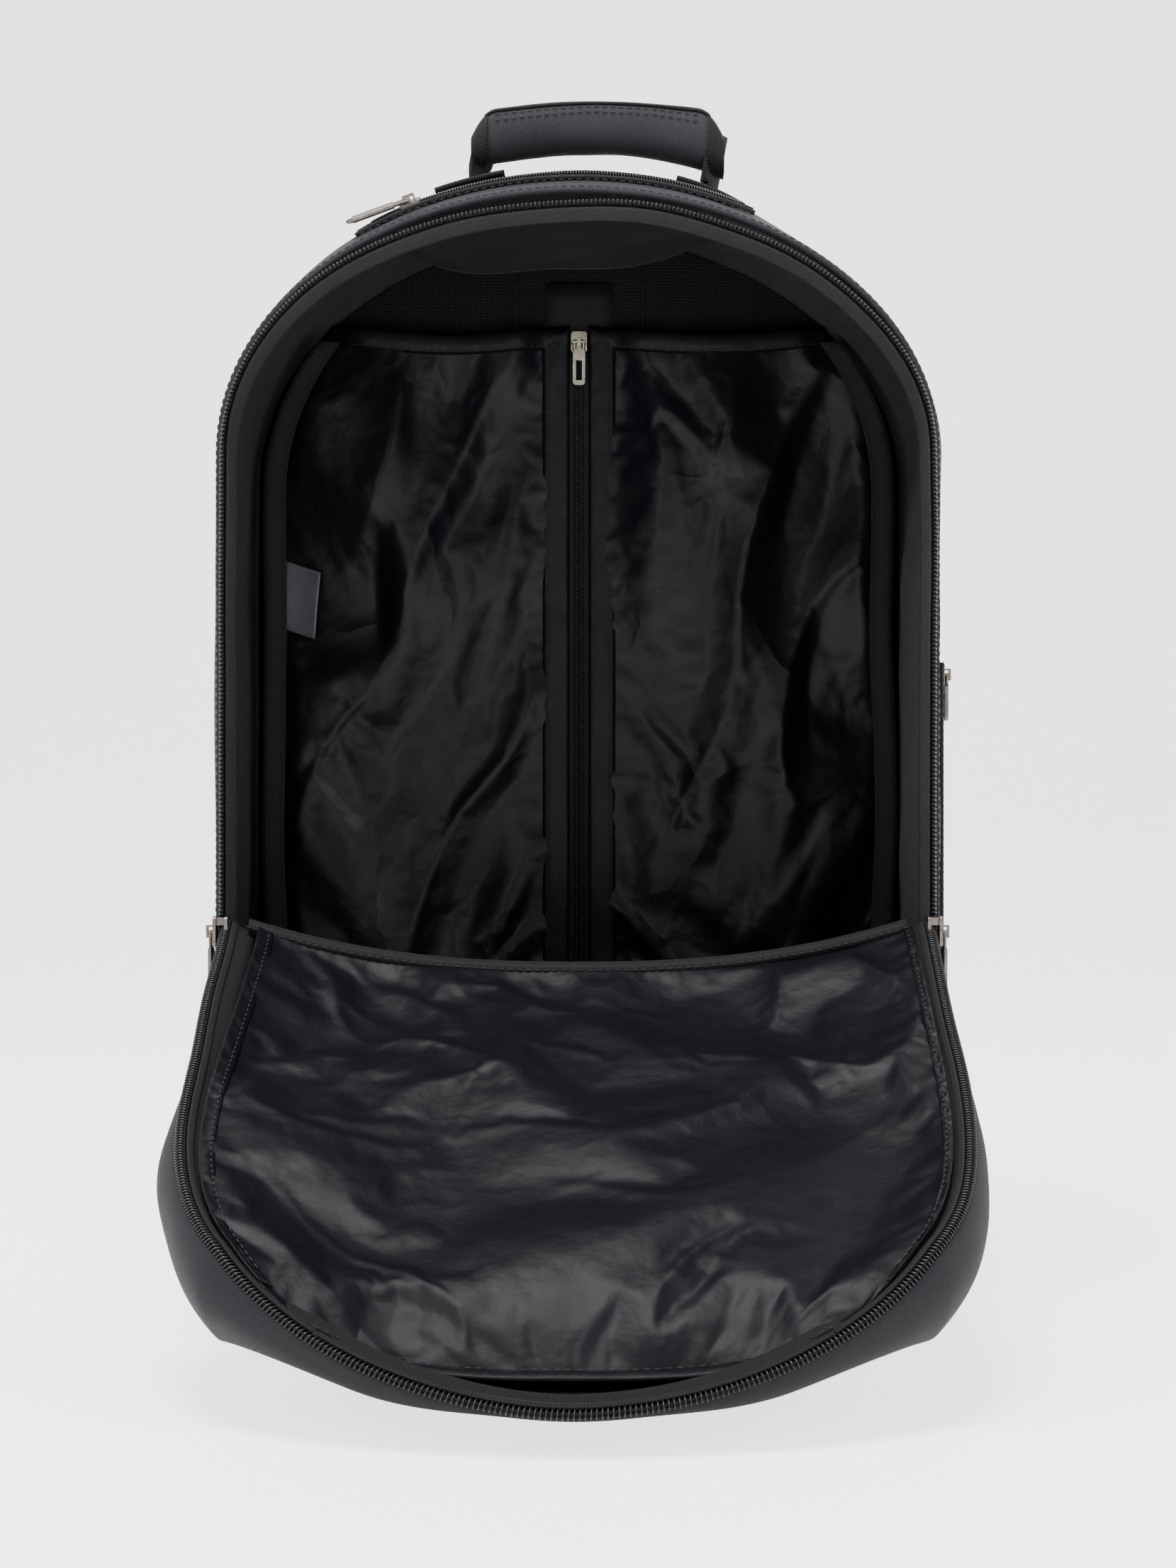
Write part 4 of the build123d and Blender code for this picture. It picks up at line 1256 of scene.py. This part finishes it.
# ---------------------------------------------------------------- side pocket zip
# An upright closed coil zip on the right side, between two canvas lips, opens a flat pocket of
# plain cloth sewn inside the gusset.
side_low, side_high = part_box("side_zip")
side_line = traced(
    lambda share: Vector((
        side_high[0] - 0.0012, 0, mixed(side_low[2] + 0.006, side_high[2] - 0.006, share)
    )), 50
)
closed_zip("side_zip", side_line, lambda place: Vector((1, 0, 0)), "bag", ["side_zip"], 0.0105)
for name, shift in (("front", -0.0125), ("back", 0.0125)):
    line = [Vector((middle_half + 0.0022, shift, p.z)) for p in side_line]
    lip = cord_mesh("side_zip_lip_" + name, line, 0.0011, 2)
    dress(lip, "bag", outer_canvas, "outer_canvas")
    row = [p + Vector((0.0004, shift * 0.3, 0)) for p in line]
    stitches("side_zip_stitches_" + name, row, (1, 0, 0), "bag")
patch_low, patch_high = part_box("side_pocket_pouch")


def patch_point(u, v):
    """Flat pocket inside the gusset, a little fuller in its middle."""
    y = mixed(patch_low[1], patch_high[1], u)
    swell = 0.004 * math.sin(math.pi * u) ** 0.5 * math.sin(math.pi * v) ** 0.5
    return Vector((inside_limit(0.2, y, 0.0042) - swell, y, mixed(patch_low[2], patch_high[2], v)))


panel(
    "side_pocket_pouch_cloth", 30, 50, patch_point, 0.117, 0.235, 0.0010,
    "bag", plain_cloth.material, "pouch_cloth", "side_pocket_pouch",
)


# ---------------------------------------------------------------- front pocket zip
# A straight closed coil zip, sewn across the outside of the pocket. At rest it faces the floor,
# under the folded flap.
pocket_tilt = math.radians(24.3)
pocket_low, pocket_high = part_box("pocket_zip")
out_way = Vector((0, math.sin(pocket_tilt), -math.cos(pocket_tilt)))
_, pocket_y, pocket_z = middle("pocket_zip")
pocket_line = traced(
    lambda share: Vector((
        mixed(pocket_low[0], pocket_high[0], share), pocket_y, pocket_z
    )) + out_way * 0.0006, 60
)
closed_zip("pocket_zip", pocket_line, lambda place: out_way, "flap", ["pocket_zip"], 0.0115)


# ---------------------------------------------------------------- sliders and pulls
# Die-cast sliders. The main and top ones are antique nickel with wire-and-sleeve pulls. The
# curtain's is plated a pale gold nickel.
def metal_finish(name, dark, light, roughness):
    """Cast or rolled metal: a cloudy tone with a fine grain."""
    finish = Finish(name, Metallic=1.0)
    where = finish.coordinates()
    cloud = finish.noise(where, 240.0, 4.0, 0.6)
    grain = finish.noise(where, 1800.0, 2.0)
    return finish.surface(
        finish.blend(cloud, dark, light), roughness + cloud * 0.18 + grain * 0.06, grain, 0.00005, 0.4
    )


antique = metal_finish("antique_nickel", (0.040, 0.033, 0.029), (0.24, 0.21, 0.19), 0.26)
bright = metal_finish("bright_nickel", (0.16, 0.14, 0.11), (0.50, 0.46, 0.38), 0.18)
for node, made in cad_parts.items():
    if node.startswith("curtain") and "_zip" not in node:
        paint(made, bright)
    elif "_slider" in node or "_pull" in node:
        paint(made, antique)


# ---------------------------------------------------------------- stiffeners
# A thin polyethylene frame sheet and base board, cut flat and slipped behind the lining, and a
# rolled aluminium stay in its sleeve.
sheet_plastic = Finish("stiffener", Roughness=0.5)
haze = sheet_plastic.noise(sheet_plastic.coordinates(), 300.0)
sheet_plastic.surface(
    sheet_plastic.blend(haze, (0.0080, 0.0080, 0.0080), (0.0140, 0.0140, 0.0140)),
    0.45 + haze * 0.1, haze, 0.0001, 0.3,
)
stay_metal = metal_finish("stay_aluminium", (0.5, 0.5, 0.52), (0.65, 0.65, 0.67), 0.35)
for node in ("frame_sheet", "bottom_board"):
    paint(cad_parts[node], sheet_plastic.material)
paint(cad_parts["center_stay"], stay_metal)


# ---------------------------------------------------------------- grab handle
# A padded grip of the bag's own canvas, bound with ribbed webbing, on a strap of webbing that
# is sewn down at two patches.
grip_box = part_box("handle_grip")
strap_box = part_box("handle_webbing")
grip_middle = middle("handle_grip")[2]


def grip_point(u, v, swell=0.0):
    """Padded sleeve: u runs along the grip, v goes round it. Both its ends droop."""
    share = 2 * u - 1
    x = mixed(grip_box[0][0] - 0.0055, grip_box[1][0] + 0.0065, u)
    corner_fall = 0.011 * max(0.0, (abs(share) - 0.80) / 0.20) ** 2.2
    top = grip_middle + 0.0122 - 0.0050 * share * share - corner_fall
    low = grip_middle - 0.0120 - (0.0115 if share > 0 else 0.0068) * share * share
    tall = (top - low) / 2 + swell
    deep = mixed(0.0125, 0.0095, share * share) + swell
    angle = 2 * math.pi * v
    y = deep * math.copysign(abs(math.cos(angle)) ** 0.8, math.cos(angle))
    z = tall * math.copysign(abs(math.sin(angle)) ** 0.8, math.sin(angle))
    soft = 0.0008 * ripple(x * 45, y * 60, z * 60, 3)
    return Vector((x, y + soft, (top + low) / 2 + z + soft))


def sleeve_of(name, columns, rows, place, width, length):
    """Closed sleeve: a sheet whose two long edges are merged and whose ends are capped."""
    made = cloth(name, columns, rows, place, width, length)
    bm = bmesh.new()
    bm.from_mesh(made.data)
    bmesh.ops.remove_doubles(bm, verts=bm.verts, dist=1e-5)
    rim = [edge for edge in bm.edges if edge.is_boundary]
    bmesh.ops.holes_fill(bm, edges=rim, sides=0)
    bmesh.ops.recalc_face_normals(bm, faces=bm.faces)
    bm.to_mesh(made.data)
    bm.free()
    return made


grip = sleeve_of("handle_grip_pad", 60, 32, grip_point, 0.124, 0.075)
dress(grip, "handle", outer_canvas, "outer_canvas", "handle_grip")
for name, turn in (("upper", 0.385), ("lower", 0.435), ("back", 0.12)):
    row = [grip_point(step / 50, turn, 0.0005) for step in range(5, 46)]
    stitches("grip_stitches_" + name, row, (0, 1 if name == "back" else -1, 0.6), "handle")
for name, low, high in (("left", -0.006, 0.060), ("right", 0.940, 1.006)):
    band = sleeve_of(
        "grip_end_binding_" + name, 8, 32,
        lambda u, v, low=low, high=high: grip_point(mixed(low, high, u), v, 0.0009), 0.009, 0.075,
    )
    dress(band, "handle", webbing_cloth.material, "webbing")
panel(
    "grip_top_binding", 60, 8,
    lambda u, v: grip_point(mixed(0.05, 0.95, u), mixed(0.35, 0.20, v), 0.0008), 0.124, 0.012, 0.0010,
    "handle", webbing_cloth.material, "webbing",
)


def web_strip(name, line, across_at, width, body, nodes=(), thickness=0.0016):
    """Flat webbing along a line of points; across_at(u) is the way its width lies."""
    last = len(line) - 1

    def place(u, v):
        index = round(u * last)
        return line[index] + across_at(index / last) * (v - 0.5) * width

    length = sum((b - a).length for a, b in zip(line, line[1:]))
    finish = webbing_cloth.material
    return panel(name, last, 8, place, length, width, thickness, body, finish, "webbing", *nodes)


hinge_z = strap_box[0][2]
left_foot = Vector((strap_box[0][0] + 0.003, 0, hinge_z - 0.0045))
right_foot = Vector((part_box("handle_anchor_right")[0][0] + 0.016, 0, hinge_z - 0.0045))
strap_rise = grip_middle - 0.002 - left_foot.z


def strap_twist(share):
    """Way of the left strap's width, which turns a little edge-on half way up."""
    turn = 0.5 * math.sin(math.pi * share)
    return Vector((math.sin(turn), math.cos(turn), 0))


left_strap = traced(lambda share: left_foot + Vector((
    0.0035 * math.sin(share * math.pi) + 0.006 * share * share, 0, strap_rise * share
)), 24)
right_strap = traced(lambda share: right_foot + Vector((0.005 * share, 0, strap_rise * share)), 24)
web_strip("handle_strap_left", left_strap, strap_twist, 0.020, "handle", ["handle_webbing"])
web_strip("handle_strap_right", right_strap, lambda u: Vector((0.42, 0.9, 0)).normalized(), 0.020, "handle")
for name, foot in (("left", left_foot), ("right", right_foot)):
    patch_line = traced(
        lambda share, foot=foot: on_top(foot.x + mixed(-0.017, 0.017, share), 0.0, 0.0016), 20
    )
    anchor_node = "handle_anchor_" + name
    web_strip(
        "handle_patch_" + name, patch_line, lambda u: Vector((0, 1, 0)), 0.030, "bag", [anchor_node],
        0.0022
    )
    for sign, word in ((-1, "front"), (1, "back")):
        row = [p + Vector((0, sign * 0.0125, 0.0013)) for p in patch_line[1:-1]]
        stitches(f"patch_stitches_{name}_{word}", row, (0, 0, 1), "bag")
    rise = traced(lambda share, foot=foot: foot + Vector((0, 0, -0.004 + 0.0052 * share)), 8)
    web_strip("handle_root_" + name, rise, lambda u: Vector((0, 1, 0)), 0.019, "bag", (), 0.0020)


# ---------------------------------------------------------------- back pads
# Two cushions of spacer mesh over foam, quilted across at three places, bound with webbing
# round their edges and sewn to the back panel.
def pad_point(box, u, v):
    """Crowned outer face of a pad with rounded corners."""
    x = 2 * u - 1
    z = 2 * v - 1
    pull = 1 - 0.018 * (1 - abs(z) ** 4) * abs(x) ** 6
    round_x = x * math.sqrt(max(0.0, 1 - 0.16 * z ** 8))
    round_z = z * math.sqrt(max(0.0, 1 - 0.05 * x ** 8))
    crown = (1 - abs(x) ** 5) ** 0.5 * (1 - abs(z) ** 9) ** 0.5
    channel = 0.0026 * sum(math.exp(-((z - place) / 0.02) ** 2) for place in (-0.45, 0.0, 0.45))
    out = (box[1][1] - box[0][1] - channel) * crown
    return Vector((
        mixed(box[0][0], box[1][0], (1 + round_x * pull) / 2), box[0][1] + max(0.0004, out),
        mixed(box[0][2], box[1][2], (1 + round_z) / 2),
    ))


for name in ("left", "right"):
    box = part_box("back_pad_" + name)
    pad = panel(
        "back_pad_cushion_" + name, 40, 110, lambda u, v, box=box: pad_point(box, u, v), 0.118, 0.372, 0.0014,
        "bag", mesh_cloth.material, "padded_mesh", "back_pad_" + name,
    )
    sides = [(step / 20, 0) for step in range(20)] + [(1, step / 60) for step in range(60)]
    sides += [(1 - u, 1 - v) for u, v in sides]
    rim = [pad_point(box, u, v) + Vector((0, 0.0012, 0)) for u, v in sides]
    bound = cord_mesh("back_pad_binding_" + name, rim, 0.0020, 2, True)
    dress(bound, "bag", webbing_cloth.material, "webbing")


# ---------------------------------------------------------------- shoulder straps
# Padded straps of canvas over foam, faced with mesh, each ending in a ladder lock with webbing
# that runs down to a sewn anchor.
buckle_nylon = Finish("buckle_nylon", Roughness=0.42, Specular_IOR_Level=0.4)
mould = buckle_nylon.noise(buckle_nylon.coordinates(), 700.0)
buckle_nylon.surface(
    buckle_nylon.blend(mould, (0.0040, 0.0040, 0.0040), (0.0120, 0.0120, 0.0120)), 0.38 + mould * 0.15,
    mould, 0.0001, 0.4
)
strap_width = 0.060


def strap_half(v):
    """Half the width of a strap, narrower towards its lower end and round at both tips."""
    narrow = 1 - 0.16 * (1 - ease(0.0, 0.3, v))
    return strap_width / 2 * narrow * min(1.0, 0.45 + 7 * min(v, 1 - v)) ** 0.5


def level(place):
    """Webbing whose width lies level, along the bag's back."""
    return Vector((1, 0, 0))


for name, side in (("left", -1), ("right", 1)):
    body = "strap_" + name
    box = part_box("shoulder_strap_" + name)
    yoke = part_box("strap_yoke_" + name)
    low_x = middle("ladder_lock_" + name)[0]
    high_x = middle("strap_yoke_" + name)[0]
    pad_back = box[1][1]
    pad_front = pad_back - 0.012

    def centre(v, low_x=low_x, high_x=high_x, box=box, side=side):
        bow = side * 0.006 * math.sin(math.pi * v)
        x = mixed(low_x, high_x, v ** 1.25) + bow
        return x, mixed(box[0][2], box[1][2] - 0.004, v)

    def strap_point(u, v, centre=centre, pad_front=pad_front, pad_back=pad_back):
        """Closed padded strap: u goes round its section, v up its length."""
        x, z = centre(v)
        angle = 2 * math.pi * u
        half = strap_half(v)
        across = half * math.copysign(abs(math.cos(angle)) ** 0.7, math.cos(angle))
        deep = (pad_back - pad_front) / 2
        wrinkle = 0.0007 * ripple(across * 40, v * 26, deep * 3, 6)
        thick = deep * math.copysign(abs(math.sin(angle)) ** 0.55, math.sin(angle))
        thick *= 1 - 0.10 * abs(across / half)
        return Vector((x + across, (pad_front + pad_back) / 2 + thick + wrinkle, z))

    strap = sleeve_of("shoulder_strap_pad_" + name, 44, 130, strap_point, 0.14, 0.31)
    dress(strap, body, outer_canvas, "outer_canvas", "shoulder_strap_" + name)
    for edge in (-1, 1):
        word = "outer" if edge == side else "inner"
        line = []
        for step in range(4, 97):
            x, z = centre(step / 100)
            line.append(Vector((x + edge * strap_half(step / 100), (pad_front + pad_back) / 2, z)))
        bound = cord_mesh(f"strap_binding_{name}_{word}", line, 0.0024, 2)
        dress(bound, body, webbing_cloth.material, "webbing")
    runner = []
    for step in range(61):
        x, z = centre(mixed(0.0, 0.92, step / 60))
        runner.append(Vector((x, pad_back + 0.0012, z)))
    web_strip("strap_runner_" + name, runner, level, 0.025, body)
    for word, edge in (("left", -1), ("right", 1)):
        row = [p + Vector((edge * 0.010, 0.0010, 0)) for p in runner]
        stitches(f"runner_stitches_{name}_{word}", row, (0, 1, 0), body)
    (yoke_left, _, yoke_low), (yoke_right, yoke_y, yoke_high) = yoke
    tab_line = traced(lambda share, x=high_x, y=yoke_y, front=pad_front, z=yoke_high: Vector((
        x, mixed(y + 0.001, front + 0.004, share), z - 0.012 - 0.010 * math.sin(share * math.pi / 2)
    )), 12)
    web_strip("strap_top_web_" + name, tab_line, level, 0.036, body)
    yoke_line = [
        Vector((high_x, yoke_y - 0.0012, mixed(yoke_low, yoke_high, step / 12)))
        for step in range(13)
    ]
    web_strip("strap_yoke_patch_" + name, yoke_line, level, 0.048, "bag", ["strap_yoke_" + name], 0.0022)
    for height in (0.004, 0.028):
        ends = (yoke_left + 0.003, yoke_right - 0.003)
        row = [Vector((mixed(*ends, step / 12), yoke_y + 0.0001, yoke_low + height)) for step in range(13)]
        stitches(f"yoke_stitches_{name}_{round(height * 1000)}", row, (0, 1, 0), "bag")
    paint(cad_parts["ladder_lock_" + name], buckle_nylon.material)
    web_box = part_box("strap_webbing_" + name)
    near_x = web_box[0][0] if side > 0 else web_box[1][0]
    far_x = web_box[1][0] if side > 0 else web_box[0][0]
    web_y = middle("strap_webbing_" + name)[1]
    top = Vector((near_x + side * 0.0125, web_y, web_box[1][2]))
    low = Vector((far_x - side * 0.0125, web_y, web_box[0][2]))
    tail = [
        top.lerp(low, step / 30) + Vector((0, -0.002 * math.sin(math.pi * step / 30), 0))
        for step in range(31)
    ]
    web_strip(
        "strap_lower_web_" + name, tail, lambda u, side=side: Vector((1, 0, 0.12 * side)).normalized(), 0.025,
        body, ["strap_webbing_" + name],
    )
    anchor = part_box("strap_anchor_" + name)
    anchor_line = []
    for step in range(13):
        y = back_y + 0.0014 + 0.0030 * math.sin(math.pi / 2 * step / 12)
        z = mixed(anchor[0][2], anchor[1][2], step / 12)
        anchor_line.append(Vector((middle("strap_anchor_" + name)[0], y, z)))
    web_strip(
        "strap_anchor_patch_" + name, anchor_line, level, 0.036, "bag", ["strap_anchor_" + name], 0.0022
    )
